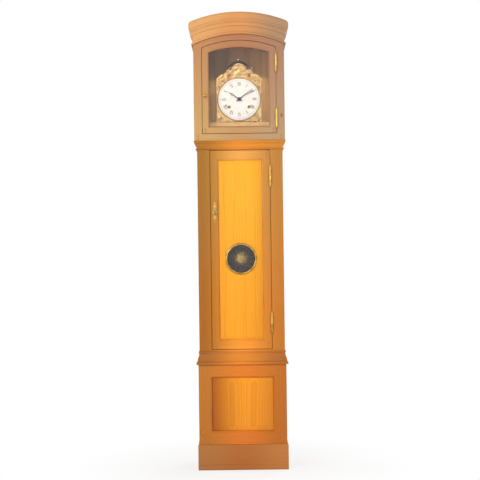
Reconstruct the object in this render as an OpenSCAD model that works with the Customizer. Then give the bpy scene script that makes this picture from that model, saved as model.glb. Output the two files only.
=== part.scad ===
// Tall case clock: a straight pine case with an arched hood, a long panelled door with a round
// pendulum window, and a two-train movement with an anchor escapement, driven by two weights.
// Millimetres, +Z up. The front faces -Y. The origin is on the floor under the clock's middle.

/* [Case] */
// Clear width inside the base and the trunk
inner_w = 394; // [388:1:406]
// Clear depth inside the trunk, from the front frame to the back boards
inner_d = 216; // [212:1:226]
// Thickness of the trunk's side boards
side_t = 18; // [15:1:21]
// Thickness of the back boards
back_t = 12; // [9:1:15]
// Thickness of the trunk's front frame
front_t = 22; // [20:1:25]
// How far the base stands proud of the trunk
base_step = 6; // [4:1:8]
// How far the plinth stands proud of the trunk
plinth_step = 12; // [10:1:15]
// Height of the plinth
plinth_h = 128; // [100:1:150]
// Height of the base above the plinth
base_h = 402; // [370:1:430]
// Height of the trunk above the base
trunk_h = 1125; // [1090:1:1160]
// Thickness of the bottom board
bottom_t = 16; // [12:1:20]
// Width of the base frame's stiles and rails
base_rail = 60; // [50:1:70]
// Width of the trunk frame's stiles
trunk_stile = 62.5; // [56:0.5:70]
// Height of the trunk frame's bottom rail
trunk_rail_low = 74; // [70:1:84]
// Height of the trunk frame's top rail
trunk_rail_top = 47; // [45:1:56]
// Number of back boards
back_boards = 3; // [2:1:5]

/* [Mouldings] */
// Reach of the waist moulding beyond the trunk
waist_p = 16; // [14:1:19]
// Height of the waist moulding above the base
waist_h = 64; // [58:1:66]
// How far the waist moulding laps down over the base
waist_lap = 8; // [5:1:12]
// Reach of the throat moulding beyond the trunk
throat_p = 16; // [15:1:19]
// Height of the throat moulding
throat_h = 43; // [38:1:44]
// Reach of the cornice beyond the hood
cornice_p = 22; // [20:1:26]
// Height of the cornice, square to its arch
cornice_h = 110; // [104:1:118]
// Radius of the cornice's top edge
arch_r = 640; // [610:5:700]

/* [Trunk door] */
// Gap round each door
door_gap = 2.5; // [2:0.1:3.5]
// Thickness of the trunk door
door_t = 20; // [18:1:22]
// Width of the trunk door's stiles
door_stile = 34; // [30:1:38]
// Width of the trunk door's rails
door_rail = 42; // [36:1:48]
// Thickness of the panels at their tongues
tongue_t = 6; // [5:0.5:7]
// How deep a panel's tongue sits in its groove
tongue_in = 8; // [6:1:10]
// Thickness of the panels at their raised fields
panel_t = 12; // [10:1:14]
// Width of the bevel round the trunk door's field
door_bevel = 22; // [18:1:24]
// Width of the bevel round the base panel's field
base_bevel = 36; // [28:1:44]
// Radius of the pendulum window's glass that shows
window_r = 70; // [64:1:74]
// Width of the window's brass bezel
bezel_w = 10; // [8:1:11]
// Thickness of the window's glass
window_glass_t = 3; // [2:0.5:4]
// How far above the pendulum window's centre the key is
key_rise = 236; // [200:1:270]
// Radius of the key's shank and of the catch's spindle
key_r = 3; // [2.5:0.1:3.5]
// Travel of the lock's bolt
bolt_travel = 9; // [6:0.5:9]

/* [Hinges] */
// Radius of a hinge's knuckle
knuckle_r = 5.5; // [4.5:0.1:6]
// Length of one knuckle
knuckle_l = 44; // [36:1:52]
// Radius of a hinge's pin
pin_r = 2.5; // [2:0.1:3]
// How far a hinge leaf runs in from the door's face
leaf_d = 17; // [12:1:18]
// Height of a trunk hinge from the door's end
trunk_hinge_z = 130; // [100:1:180]
// Height of a hood hinge from the door's low end
hood_hinge_z = 75; // [65:1:95]

/* [Hood] */
// Height of the hood, from the trunk to the top of its arch
hood_h = 645; // [630:1:665]
// Thickness of the hood's sides
hood_side_t = 12; // [10:1:14]
// Thickness of the hood's front frame and door
hood_front_t = 20; // [18:1:22]
// How far the hood's front stands proud of the trunk
hood_step = 12; // [11:1:14]
// Thickness of the roof board
roof_t = 7; // [5:1:9]
// Width of the hood frame's stiles
hood_stile = 40.5; // [36:0.5:46]
// Height of the hood frame's bottom rail
hood_rail = 34; // [30:1:40]
// Width of the arched rail that shows under the cornice
hood_arch_rail = 30; // [24:1:36]
// Width of the hood door's stiles and rails
hood_door_stile = 28; // [24:1:32]
// Thickness of the hood door's glass
glass_t = 3; // [2:0.5:4]
// Width of the rebate that holds a glass
rebate = 5; // [4:0.5:7]
// Height of the turn catch above the hood door's low edge
catch_z = 190; // [150:1:230]

/* [Dial and hands] */
// Radius of the enamel dial
dial_r = 105; // [100:1:108]
// How far the dial's face domes forward
dial_rise = 6; // [4:0.5:8]
// Thickness of the dial
dial_t = 2; // [1.5:0.25:2.5]
// Space between the hood door and the dial's face
dial_gap = 27; // [25:1:32]
// Half width of the dial's brass surround
surround_half = 112; // [110:1:114]
// Height of the surround's pediment above the dial's centre
pediment_h = 182; // [170:1:190]
// Length of the minute hand
minute_l = 90; // [80:1:94]
// Length of the hour hand
hour_l = 62; // [54:1:68]
// Time shown by the hour hand
hour_shown = 10; // [1:1:12]
// Time shown by the minute hand
minute_shown = 9; // [0:1:59]

/* [Movement] */
// Height of the seat board's underside above the trunk
seat_rise = 77; // [70:1:86]
// Thickness of the seat board
seat_t = 20; // [16:1:24]
// Height of the dial's centre above the seat board
dial_above_seat = 116; // [114:1:122]
// Space between a great wheel and the plates' edges
plate_edge = 6; // [4:1:10]
// Height of the plates above the anchor's arbor
plate_head = 20; // [16:1:24]
// Thickness of a plate
plate_t = 3; // [2.5:0.5:4]
// Space between the plates
plate_gap = 112; // [112:1:116]
// Space between the front plate and the dial's face
motion_room = 25; // [24:1:28]
// Radius of a pillar
pillar_r = 6; // [5:0.5:7]
// Radius of an arbor
arbor_r = 2.4; // [2:0.1:2.6]
// Radius of a pivot
pivot_r = 1.5; // [1.2:0.1:1.8]
// Radial clearance of a pivot or a pin in its hole
fit = 0.08; // [0.06:0.01:0.1]
// Thickness of a train wheel
wheel_t = 3; // [2.5:0.25:3.5]
// Half the distance between the two winding squares
winding_x = 50; // [48:0.5:52]

/* [Trains] */
// Module of the great wheels
great_m = 1.4; // [1.38:0.01:1.42]
// Teeth of the going great wheel
great_teeth = 84; // [82:1:85]
// Leaves of the centre pinion
centre_leaves = 7; // [7:1:8]
// Module of the centre wheel
centre_m = 1.3; // [1.26:0.01:1.34]
// Teeth of the centre wheel
centre_teeth = 64; // [62:1:66]
// Leaves of the third pinion
third_leaves = 8; // [8:1:9]
// Module of the third wheel
third_m = 1.15; // [1.12:0.01:1.18]
// Teeth of the third wheel
third_teeth = 63; // [61:1:64]
// Leaves of the escape pinion
escape_leaves = 8; // [8:1:9]
// Teeth of the escape wheel
escape_teeth = 30; // [28:1:32]
// Radius of the escape wheel
escape_r = 25; // [24:0.5:26]
// Teeth of the strike great wheel
strike_teeth = 78; // [76:1:80]
// Leaves of the pin wheel's pinion
pin_leaves = 8; // [8:1:9]
// Teeth of the pin wheel
pin_teeth = 60; // [58:1:61]
// Lifting pins on the pin wheel
lift_pins = 8; // [6:1:10]
// Leaves of the warning pinion
warning_leaves = 8; // [8:1:9]
// Module of the warning wheel
warning_m = 1; // [0.98:0.01:1.02]
// Teeth of the warning wheel
warning_teeth = 56; // [54:1:57]
// Leaves of the fly's pinion
fly_leaves = 7; // [7:1:8]
// Module of the cannon pinion and the minute wheel
motion_m = 1; // [0.98:0.01:1.02]
// Teeth of the cannon pinion
cannon_teeth = 24; // [24:1:25]
// Teeth of the minute wheel
minute_teeth = 48; // [47:1:49]
// Leaves of the minute pinion
minute_leaves = 12; // [12:1:13]
// Teeth of the hour wheel
hour_teeth = 72; // [71:1:73]
// Radius of a barrel where the line lies
barrel_r = 24.5; // [23:0.5:26]
// Length of a barrel
barrel_l = 32; // [28:1:34]
// Turns of line that a barrel's groove holds
barrel_turns = 7; // [6:1:8]

/* [Pendulum and weights] */
// Distance from the suspension to the bob's centre
pendulum_l = 917; // [900:1:930]
// Radius of the bob
bob_r = 75; // [68:1:80]
// Thickness of the bob at its middle
bob_t = 26; // [20:1:28]
// Width of the pendulum rod
rod_w = 8; // [6:0.5:10]
// Thickness of the pendulum rod
rod_t = 4; // [3:0.5:5]
// Distance from the back boards to the pendulum's plane
pendulum_y = 25; // [24:1:27]
// Half the pendulum's swing each way, in degrees
swing = 2.5; // [2:0.1:3]
// Radius of a weight
weight_r = 38; // [34:1:42]
// Height of a weight's cylinder
weight_h = 165; // [140:1:190]
// Depth of a weight's top below its barrel when it is wound up
weight_drop = 330; // [300:1:360]
// Radius of a weight line
line_r = 1.3; // [1:0.1:1.5]
// Radius of the bell
bell_r = 60; // [54:1:62]
// Height of the bell
bell_h = 45; // [38:1:50]

/* [Hidden] */
$fn = 96;

// Heights
base_top = plinth_h + base_h;
trunk_top = base_top + trunk_h;
total_h = trunk_top + hood_h;
seat_z = trunk_top + seat_rise;
dial_z = seat_z + seat_t + dial_above_seat;
arch_z = total_h - arch_r;

// Widths, each measured from the middle
inner_half = inner_w / 2;
trunk_half = inner_half + side_t;
base_half = trunk_half + base_step;
plinth_half = trunk_half + plinth_step;
hood_slack = 1;
hood_half = trunk_half + hood_slack + hood_side_t;

// Depths: the wall behind the clock, then the faces in front of it
trunk_d = front_t + inner_d + back_t;
wall_y = (trunk_d + hood_step + cornice_p) / 2;
trunk_y = wall_y - trunk_d;
base_y = trunk_y - base_step;
plinth_y = trunk_y - plinth_step;
hood_y = trunk_y - hood_step;
inside_y = trunk_y + front_t;
boards_y = wall_y - back_t;

// Small clearances and play
seat_gap = 0.3;
slide_gap = 0.3;
far = 3000;

// Trunk door
opening_half = trunk_half - trunk_stile;
opening_z0 = base_top + trunk_rail_low;
opening_z1 = trunk_top - trunk_rail_top;
door_half = opening_half - door_gap;
door_z0 = opening_z0 + door_gap;
door_z1 = opening_z1 - door_gap;
door_hinge_x = opening_half - door_gap / 2;
hinge_proud = knuckle_r + 0.5;
key_x = -(door_half - door_stile / 2 - 3);

// Hood door
hood_z0 = trunk_top + slide_gap;
hood_opening_half = hood_half - hood_stile;
hood_opening_z0 = hood_z0 + hood_rail;
cornice_r = arch_r - cornice_h;
hood_opening_r = cornice_r - hood_arch_rail;
hood_door_half = hood_opening_half - door_gap;
hood_door_z0 = hood_opening_z0 + door_gap;
hood_door_r = hood_opening_r - door_gap;
roof_r = arch_r - 18;
hood_hinge_x = hood_opening_half - door_gap / 2;
catch_x = -(hood_door_half - hood_door_stile / 2);
hood_hinge_top = arch_z + sqrt(pow(hood_door_r, 2) - pow(hood_door_half, 2)) - hood_hinge_z;

// Movement: positions are [across, up] from the dial's centre
dial_y = hood_y + hood_front_t + dial_gap;
plate_y = dial_y + motion_room;
inside_plate_y = plate_y + plate_t;
back_plate_y = inside_plate_y + plate_gap;
swing_y = boards_y - pendulum_y;
foot_v = -dial_above_seat;

function gear_distance(m, a, b) = m * (a + b) / 2;
function polar(c, d, a) = [c[0] + d * cos(a), c[1] + d * sin(a)];
function aim(from, to) = atan2(to[1] - from[1], to[0] - from[0]);

great_d = gear_distance(great_m, great_teeth, centre_leaves);
strike_d = gear_distance(great_m, strike_teeth, pin_leaves);
centre_d = gear_distance(centre_m, centre_teeth, third_leaves);
third_d = gear_distance(third_m, third_teeth, escape_leaves);
pin_d = gear_distance(third_m, pin_teeth, warning_leaves);
warning_d = gear_distance(warning_m, warning_teeth, fly_leaves);
motion_d = gear_distance(motion_m, cannon_teeth, minute_teeth);
hour_m = 2 * motion_d / (minute_leaves + hour_teeth);

centre_at = [0, 0];
winding_v = -sqrt(pow(great_d, 2) - pow(winding_x, 2));
great_at = [-winding_x, winding_v];
third_at = polar(centre_at, centre_d, 120);
escape_at = [0, third_at[1] + sqrt(pow(third_d, 2) - pow(third_at[0], 2))];
anchor_at = [0, escape_at[1] + escape_r * sqrt(2)];
minute_at = [0, -motion_d];
strike_at = [winding_x, winding_v];
pin_at = polar(strike_at, strike_d, 85);
warning_at = polar(pin_at, pin_d, 100);
fly_at = polar(warning_at, warning_d, 31);
hammer_at = polar(pin_at, 47.4, 25);
plate_half = winding_x + great_m * great_teeth / 2 + plate_edge;
plate_top = anchor_at[1] + plate_head;
pillar_in = pillar_r + 6;
pillars_at = [[-plate_half + pillar_in, foot_v + pillar_in + 6], [0, foot_v + pillar_in + 6],
    [plate_half - pillar_in, foot_v + pillar_in + 6], [-70, plate_top - pillar_in],
    [70, plate_top - pillar_in]];
suspension_z = dial_z + anchor_at[1];
window_z = suspension_z - pendulum_l;
key_z = window_z + key_rise;

// Planes of the wheels, each measured back from the front plate's inner face
strike_great_y = 15;
strike_barrel_y = 21;
hammer_y = 43.5;
warning_y = 50;
tail_y = 58;
pin_y = 66;
third_y = 66;
going_barrel_y = 49;
great_y = 83;
escape_y = 92;
centre_y = 100;
line_lie = barrel_r + line_r;
groove_edge = 3;
groove_pitch = (barrel_l - 2 * groove_edge) / barrel_turns;
line_groove = barrel_l - groove_edge - (floor(barrel_turns / 2) + 0.5) * groove_pitch;
going_line_y = inside_plate_y + going_barrel_y + line_groove;
strike_line_y = inside_plate_y + strike_barrel_y + line_groove;
line_x = winding_x + line_lie;
line_top = dial_z + winding_v;
hook_z = line_top - weight_drop;

// Colours
pine = "#D9963F";
bright_pine = "#F2A93C";
dark_pine = "#B8762F";
brass = "#C9A24A";
steel = "#5E6266";

// Points along an arc, for outlines
function arc(c, r, a0, a1, n) =
    [for (i = [0:n]) [c[0] + r * cos(a0 + (a1 - a0) * i / n), c[1] + r * sin(a0 + (a1 - a0) * i / n)]];

// A board between two corners
module board(low, high) {
    translate(low) cube(high - low);
}

// Extrudes an outline drawn as seen from the front, [across, height], from y0 back to y1
module slab(y0, y1) {
    translate([0, y1, 0]) rotate([90, 0, 0]) linear_extrude(y1 - y0) children();
}

// The same in the movement's coordinates, about the dial's centre
module train_slab(y0, y1, at = [0, 0]) {
    translate([at[0], 0, dial_z + at[1]]) slab(y0, y1) children();
}

// A round bar along Y in the movement's coordinates
module arbor(at, y0, y1, r) {
    train_slab(y0, y1, at) circle(r);
}

// An outline below an arc of radius r about the arch's centre
module under_arch(r, half, z0) {
    intersection() {
        union() {
            translate([0, arch_z]) circle(r, $fn = 360);
            translate([-r, arch_z - far]) square([2 * r, far]);
        }
        translate([-half, z0]) square([2 * half, far]);
    }
}

// Runs a profile, [outwards, up], across the front between mitres. The profile lies between
// depth behind the face and reach in front of it, and inset is the side pieces' thickness.
module mitred_front(half, face, depth, inset, reach) {
    intersection() {
        translate([-half - reach, face, 0]) rotate([90, 0, 90]) linear_extrude(2 * (half + reach))
            mirror([1, 0, 0]) children();
        linear_extrude(far) polygon([[-half - reach, face - reach], [half + reach, face - reach],
            [half, face], [half - inset, face + depth], [inset - half, face + depth], [-half, face]]);
    }
}

// Runs the same profile back along the right side, and mirrors it to the left
module mitred_sides(half, face, depth, inset, reach) {
    for (side = [0, 1]) mirror([side, 0, 0]) intersection() {
        translate([half, wall_y, 0]) rotate([90, 0, 0]) linear_extrude(wall_y - face + reach) children();
        linear_extrude(far) polygon([[half + reach, face - reach], [half + reach, wall_y],
            [half - inset, wall_y], [half - inset, face + depth], [half, face]]);
    }
}

// Profiles of the mouldings, [outwards, up] from the trunk's face

module plinth_profile(t) {
    round_r = plinth_step - base_step;
    difference() {
        translate([-t, 0]) square([t + plinth_step, plinth_h]);
        translate([base_step, plinth_h - round_r]) difference() {
            square(round_r + 1);
            circle(round_r);
        }
    }
}

module waist_profile() {
    fillet = 6;
    ovolo_r = 8;
    cove_r = 60;
    neck = waist_p - ovolo_r + 1;
    translate([base_step, -waist_lap]) square([waist_p - base_step, waist_lap + 0.01]);
    square([waist_p, fillet]);
    translate([waist_p - ovolo_r, fillet]) intersection() {
        circle(ovolo_r);
        square(ovolo_r);
    }
    translate([0, fillet - 0.01]) square([waist_p - ovolo_r, ovolo_r]);
    difference() {
        translate([0, fillet + ovolo_r - 0.02]) square([neck, waist_h - fillet - ovolo_r - 5]);
        translate([1.5 + cove_r, waist_h - 6]) circle(cove_r);
    }
    translate([0, waist_h - 6]) square([4, 6]);
}

module throat_profile() {
    bead = 6;
    lip = 11;
    cove_r = 41;
    square([5, bead]);
    translate([5, bead / 2]) circle(bead / 2);
    difference() {
        translate([0, bead - 0.01]) square([throat_p - 3, throat_h - lip - bead + 0.02]);
        translate([2 + cove_r, bead]) circle(cove_r);
    }
    translate([0, throat_h - lip]) square([throat_p - 2, lip - 4]);
    translate([0, throat_h - 4.01]) square([throat_p, 4.01]);
}

// The cornice's outline, [outwards, along the arch's radius]: bead, frieze, cove, ovolo and cap
cornice_outline = concat(
    [[0, 0], [5, 0]],
    arc([5, 5], 5, -90, 90, 8),
    [[3, 10], [3, 42], [6, 42]],
    arc([6 + 22, 46], 22, 180, 127, 6),
    [[cornice_p - 6, 64], [cornice_p - 6, 69]],
    arc([cornice_p - 14, 82], 14, -55, 0, 6),
    [[cornice_p, cornice_h - 10], [cornice_p - 3, cornice_h - 5], [cornice_p - 9, cornice_h],
    [0, cornice_h]]);

// Case

// The plinth's boards, with bearers along the sides for the bottom board
module plinth() {
    bearer = 22;
    color(dark_pine) {
        mitred_front(trunk_half, trunk_y, front_t, side_t, plinth_step) plinth_profile(front_t);
        mitred_sides(trunk_half, trunk_y, front_t, side_t, plinth_step) plinth_profile(side_t);
        board([-inner_half, boards_y, 0], [inner_half, wall_y, plinth_h]);
        for (side = [0, 1]) mirror([side, 0, 0])
            board([inner_half - bearer, inside_y, plinth_h - bearer], [inner_half, boards_y, plinth_h]);
    }
}

module bottom_board() {
    color(pine)
        board([-inner_half, inside_y, plinth_h], [inner_half, boards_y, plinth_h + bottom_t]);
}

module base_sides() {
    color(pine) for (side = [0, 1]) mirror([side, 0, 0])
        board([inner_half, inside_y, plinth_h], [base_half, wall_y, base_top]);
}

// A raised panel: its tongue, then a field with bevelled edges, facing the front. low and high
// are [across, height], y is the front of the tongue.
module raised_panel(low, high, y, bevel) {
    rise = panel_t - tongue_t;
    w = high[0] - low[0];
    h = high[1] - low[1];
    slab(y, y + tongue_t) translate(low) square([w, h]);
    edge = bevel + tongue_in;
    intersection() {
        translate([low[0], 0, low[1]]) linear_extrude(h)
            polygon([[tongue_in, y], [edge, y - rise], [w - edge, y - rise], [w - tongue_in, y]]);
        translate([low[0], 0, low[1]]) rotate([90, 0, 90]) linear_extrude(w)
            polygon([[y, tongue_in], [y - rise, edge], [y - rise, h - edge], [y, h - tongue_in]]);
    }
}

module base_panel_space(slack) {
    low = [-(base_half - base_rail + tongue_in), plinth_h + base_rail - tongue_in];
    high = [-low[0], base_top - base_rail + tongue_in];
    y = base_y + (front_t + base_step - tongue_t) / 2;
    slab(y - slack, y + tongue_t + slack) translate(low) square(high - low);
}

module base_frame() {
    color(pine) difference() {
        for (side = [0, 1]) mirror([side, 0, 0]) {
            board([base_half - base_rail, base_y, plinth_h], [base_half, inside_y, base_top]);
        }
        base_panel_space(seat_gap);
    }
    color(pine) difference() {
        for (z = [plinth_h, base_top - base_rail])
            board([base_rail - base_half, base_y, z], [base_half - base_rail, inside_y, z + base_rail]);
        base_panel_space(seat_gap);
    }
}

module base_panel() {
    low = [-(base_half - base_rail + tongue_in), plinth_h + base_rail - tongue_in];
    high = [-low[0], base_top - base_rail + tongue_in];
    color(bright_pine)
        raised_panel(low, high, base_y + (front_t + base_step - tongue_t) / 2, base_bevel);
}

module waist_moulding() {
    color(dark_pine) translate([0, 0, base_top]) {
        mitred_front(trunk_half, trunk_y, 0, 0, waist_p) waist_profile();
        mitred_sides(trunk_half, trunk_y, 0, 0, waist_p) waist_profile();
    }
}

module trunk_sides() {
    color(pine) for (side = [0, 1]) mirror([side, 0, 0]) {
        board([inner_half, inside_y, base_top], [trunk_half, wall_y, seat_z]);
    }
}

module trunk_frame() {
    color(pine) {
        for (side = [0, 1]) mirror([side, 0, 0])
            board([opening_half, trunk_y, base_top], [trunk_half, inside_y, trunk_top]);
        board([-opening_half, trunk_y, base_top], [opening_half, inside_y, opening_z0]);
        board([-opening_half, trunk_y, opening_z1], [opening_half, inside_y, trunk_top]);
    }
}

// Boards with a small chamfer on each long edge, so that each joint is a groove. Above the
// seat board they are as wide as the trunk, to close the hood.
module back_boards() {
    w = inner_w / back_boards;
    c = 2;
    color(dark_pine) intersection() {
        union() {
            for (i = [0:back_boards - 1]) translate([i * w - inner_half, boards_y, plinth_h])
                linear_extrude(far) polygon([[c, 0], [w - c, 0], [w, c], [w, back_t - c],
                    [w - c, back_t], [c, back_t], [0, back_t - c], [0, c]]);
            for (side = [0, 1]) mirror([side, 0, 0])
                board([inner_half, boards_y, seat_z], [trunk_half, wall_y, far]);
        }
        slab(boards_y - 1, wall_y + 1) under_arch(roof_r - 3, trunk_half, 0);
    }
}

module throat_moulding() {
    color(dark_pine) translate([0, 0, trunk_top - throat_h]) {
        mitred_front(trunk_half, trunk_y, 0, 0, throat_p) throat_profile();
        mitred_sides(trunk_half, trunk_y, 0, 0, throat_p) throat_profile();
    }
}

// The seat board, with slots for the lines and the pendulum rod
module seat_board() {
    front = dial_y + 10;
    slot_w = 2 * (rod_w + 16);
    color(pine) difference() {
        board([-trunk_half, front, seat_z], [trunk_half, boards_y, seat_z + seat_t]);
        for (slot = [[-line_x, going_line_y], [line_x, strike_line_y]])
            board([slot[0] - 10, slot[1] - barrel_l / 2 - 6, seat_z - 1],
                [slot[0] + 10, slot[1] + barrel_l / 2 + 6, seat_z + seat_t + 1]);
        board([-slot_w / 2, swing_y - 14, seat_z - 1], [slot_w / 2, boards_y + 1, seat_z + seat_t + 1]);
    }
}

// Hinges: the lower knuckle, its leaf and the pin belong to the frame, and the upper knuckle
// turns on the pin. x and y are the axis, and z is the joint between the knuckles.

module finial(r) {
    rotate_extrude() polygon(concat([[0, 0], [r, 0], [r * 0.6, 2]],
        arc([0, 2 + r * 0.9], r * 0.75, -50, 90, 7)));
}

module hinge_pin(x, face, z) {
    y = face - hinge_proud;
    translate([x, y, z]) {
        translate([0, 0, -knuckle_l]) cylinder(r = knuckle_r, h = knuckle_l - seat_gap / 2);
        translate([0, 0, -seat_gap]) cylinder(r = pin_r, h = knuckle_l * 0.8);
        translate([0, 0, -knuckle_l]) mirror([0, 0, 1]) finial(knuckle_r);
    }
    board([x + 0.2, y, z - knuckle_l + 2], [x + door_gap / 2, face + leaf_d, z - seat_gap]);
}

module hinge_knuckle(x, face, z) {
    y = face - hinge_proud;
    difference() {
        union() {
            translate([x, y, z + seat_gap / 2]) cylinder(r = knuckle_r, h = knuckle_l);
            translate([x, y, z + seat_gap / 2 + knuckle_l]) finial(knuckle_r);
            board([x - door_gap / 2, y, z + seat_gap], [x - 0.2, face + leaf_d, z + knuckle_l - 2]);
        }
        translate([x, y, z - 1]) cylinder(r = pin_r + fit, h = knuckle_l * 0.8 + 3);
    }
}

trunk_hinges = [door_z0 + trunk_hinge_z, door_z1 - trunk_hinge_z];
hood_hinges = [hood_door_z0 + hood_hinge_z, hood_hinge_top];

module trunk_hinge_pins() {
    color(brass) for (z = trunk_hinges) hinge_pin(door_hinge_x, trunk_y, z);
}

module trunk_hinge_knuckles() {
    color(brass) for (z = trunk_hinges) hinge_knuckle(door_hinge_x, trunk_y, z);
}

// Trunk door

door_panel_low = [-(door_half - door_stile + tongue_in), door_z0 + door_rail - tongue_in];
door_panel_high = [-door_panel_low[0], door_z1 - door_rail + tongue_in];
door_panel_y = trunk_y + 8;

module trunk_door_frame() {
    low = door_panel_low;
    high = door_panel_high;
    color(pine) difference() {
        union() {
            for (side = [0, 1]) mirror([side, 0, 0])
                board([door_half - door_stile, trunk_y, door_z0], [door_half, trunk_y + door_t, door_z1]);
        }
        slab(door_panel_y - seat_gap, door_panel_y + tongue_t + seat_gap) translate(low) square(high - low);
        translate([key_x, 0, key_z]) slab(trunk_y - 1, trunk_y + door_t + 1) circle(key_r + fit);
    }
    color(pine) difference() {
        for (z = [door_z0, door_z1 - door_rail])
            board([door_stile - door_half, trunk_y, z],
                [door_half - door_stile, trunk_y + door_t, z + door_rail]);
        slab(door_panel_y - seat_gap, door_panel_y + tongue_t + seat_gap) translate(low) square(high - low);
    }
}

module trunk_door_panel() {
    color(bright_pine) difference() {
        raised_panel(door_panel_low, door_panel_high, door_panel_y, door_bevel);
        translate([0, 0, window_z]) slab(base_y, inside_y) circle(window_r + window_lip);
    }
}

// The window's glass lies in the panel's hole, inside the lip that the bezel turns back into it
panel_front = door_panel_y - panel_t + tongue_t;
window_lip = 4;

module window_bezel() {
    color(brass) translate([0, panel_front, window_z]) rotate([90, 0, 0]) rotate_extrude() {
        polygon(concat([[window_r, 0], [window_r + bezel_w, 0]],
            arc([window_r + bezel_w - 2.5, 2.5], 2.5, 0, 90, 5),
            [[window_r + bezel_w - 4, 3.6]],
            arc([window_r + 3, 3.4], 3, 30, 180, 7)));
        translate([window_r, -window_lip - 3]) square([window_lip - seat_gap, window_lip + 3]);
    }
}

module window_glass() {
    color("#20242850") translate([0, 0, window_z])
        slab(panel_front + window_lip + 3, panel_front + window_lip + 3 + window_glass_t)
            circle(window_r + window_lip - 0.3);
}

module trunk_escutcheon() {
    color(brass) translate([key_x, 0, key_z]) slab(trunk_y - 1.5, trunk_y) difference() {
        union() {
            translate([-7, -30]) square([14, 60]);
            for (end = [-1, 1]) {
                translate([0, end * 30]) circle(10);
                translate([0, end * 44]) circle(5.5);
                translate([0, end * 50]) circle(3);
            }
            circle(12);
        }
        circle(key_r + 0.6);
        translate([-1.6, -11]) square([3.2, 11]);
    }
}

// The lock: a case behind the stile, open at its edge, and a bolt that slides behind the frame
bolt_w = 16;
bolt_t = 5;
bolt_z = key_z + 21;
bolt_y = inside_y + seat_gap;
lock_x0 = -door_half + 1;
lock_x1 = lock_x0 + 46;
lock_back = trunk_y + door_t + bolt_t + 7;

module trunk_lock_case() {
    inner = [lock_x0 - 1, trunk_y + door_t - 1, bolt_z - bolt_w / 2 - 0.5];
    color(steel) difference() {
        board([lock_x0, trunk_y + door_t, key_z - 14], [lock_x1, lock_back, bolt_z + bolt_w / 2 + 4]);
        board([lock_x0 - 1, trunk_y + door_t + 1.5, bolt_z - bolt_w / 2 - 0.5],
            [lock_x1 - 2, lock_back - 2, bolt_z + bolt_w / 2 + 0.5]);
        board([lock_x0 + 2, trunk_y + door_t + 1.5, key_z - 12],
            [lock_x1 - 2, lock_back - 2, inner[2] + 1]);
        translate([key_x, 0, key_z]) slab(trunk_y, trunk_y + door_t + 3) circle(key_r + fit);
    }
}

module trunk_lock_bolt() {
    color(brass) board([-door_half + 0.5, bolt_y, bolt_z - bolt_w / 2],
        [lock_x1 - 4 - bolt_travel, bolt_y + bolt_t, bolt_z + bolt_w / 2]);
}

module trunk_key() {
    bow_y = trunk_y - 24;
    color(steel) translate([key_x, 0, key_z]) {
        slab(trunk_y - 18, trunk_y + door_t + 8) circle(key_r);
        slab(trunk_y + door_t + 2.2, trunk_y + door_t + 7) translate([-1.2, -10]) square([2.4, 10]);
        translate([0, bow_y + 9.5, 0]) rotate([90, 0, 0]) cylinder(r = 4, h = 3);
        translate([-1.5, bow_y, 0]) rotate([0, 90, 0]) linear_extrude(3) difference() {
            circle(9.5);
            circle(5.8);
        }
    }
}

// Hood

module hood_frame() {
    y1 = hood_y + hood_front_t;
    color(pine) slab(hood_y, y1) for (side = [0, 1]) mirror([side, 0, 0]) difference() {
        under_arch(roof_r, hood_half, hood_z0);
        translate([-far, 0]) square([far + hood_opening_half, far]);
    }
    color(pine) slab(hood_y, y1) {
        translate([-hood_opening_half, hood_z0]) square([2 * hood_opening_half, hood_rail]);
        difference() {
            under_arch(roof_r, hood_opening_half, hood_opening_z0);
            translate([0, arch_z]) circle(hood_opening_r, $fn = 360);
            translate([-hood_opening_half - 1, 0]) square([2 * hood_opening_half + 2, arch_z + 60]);
        }
    }
}

module hood_sides() {
    color(pine) slab(hood_y + hood_front_t, wall_y) for (side = [0, 1]) mirror([side, 0, 0])
        difference() {
            under_arch(roof_r, hood_half, hood_z0);
            translate([-far, 0]) square([far + hood_half - hood_side_t, far]);
        }
}

module hood_roof() {
    color(dark_pine) slab(hood_y, wall_y) difference() {
        under_arch(roof_r + roof_t, hood_half, arch_z + 100);
        translate([0, arch_z]) circle(roof_r, $fn = 360);
    }
}

// The front of the cornice is turned about the arch's axis. Its returns run straight back, and
// each of their points is at the height that the arch reaches at the mitre.
module cornice() {
    span = 32;
    front = [for (p = cornice_outline) [cornice_r + p[1], p[0] - hood_y]];
    side = [for (p = cornice_outline)
        [p[0], arch_z + sqrt(pow(cornice_r + p[1], 2) - pow(hood_half + p[0], 2))]];
    color(pine) {
        intersection() {
            translate([0, 0, arch_z]) rotate([90, 0, 0]) rotate([0, 0, 90 - span])
                rotate_extrude(angle = 2 * span, $fn = 360) polygon(front);
            linear_extrude(far) polygon([[-hood_half - cornice_p, hood_y - cornice_p],
                [hood_half + cornice_p, hood_y - cornice_p], [hood_half, hood_y], [-hood_half, hood_y]]);
        }
        mitred_sides(hood_half, hood_y, 0, 0, cornice_p) polygon(side);
    }
}

module hood_hinge_pins() {
    color(brass) for (z = hood_hinges) hinge_pin(hood_hinge_x, hood_y, z);
}

module hood_hinge_knuckles() {
    color(brass) for (z = hood_hinges) hinge_knuckle(hood_hinge_x, hood_y, z);
}

// The glass of the hood door, as an outline that grows by edge past the opening that shows
module hood_glass_outline(edge) {
    half = hood_door_half - hood_door_stile + edge;
    under_arch(hood_door_r - hood_door_stile + edge, half, hood_door_z0 + hood_door_stile - edge);
}

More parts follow.
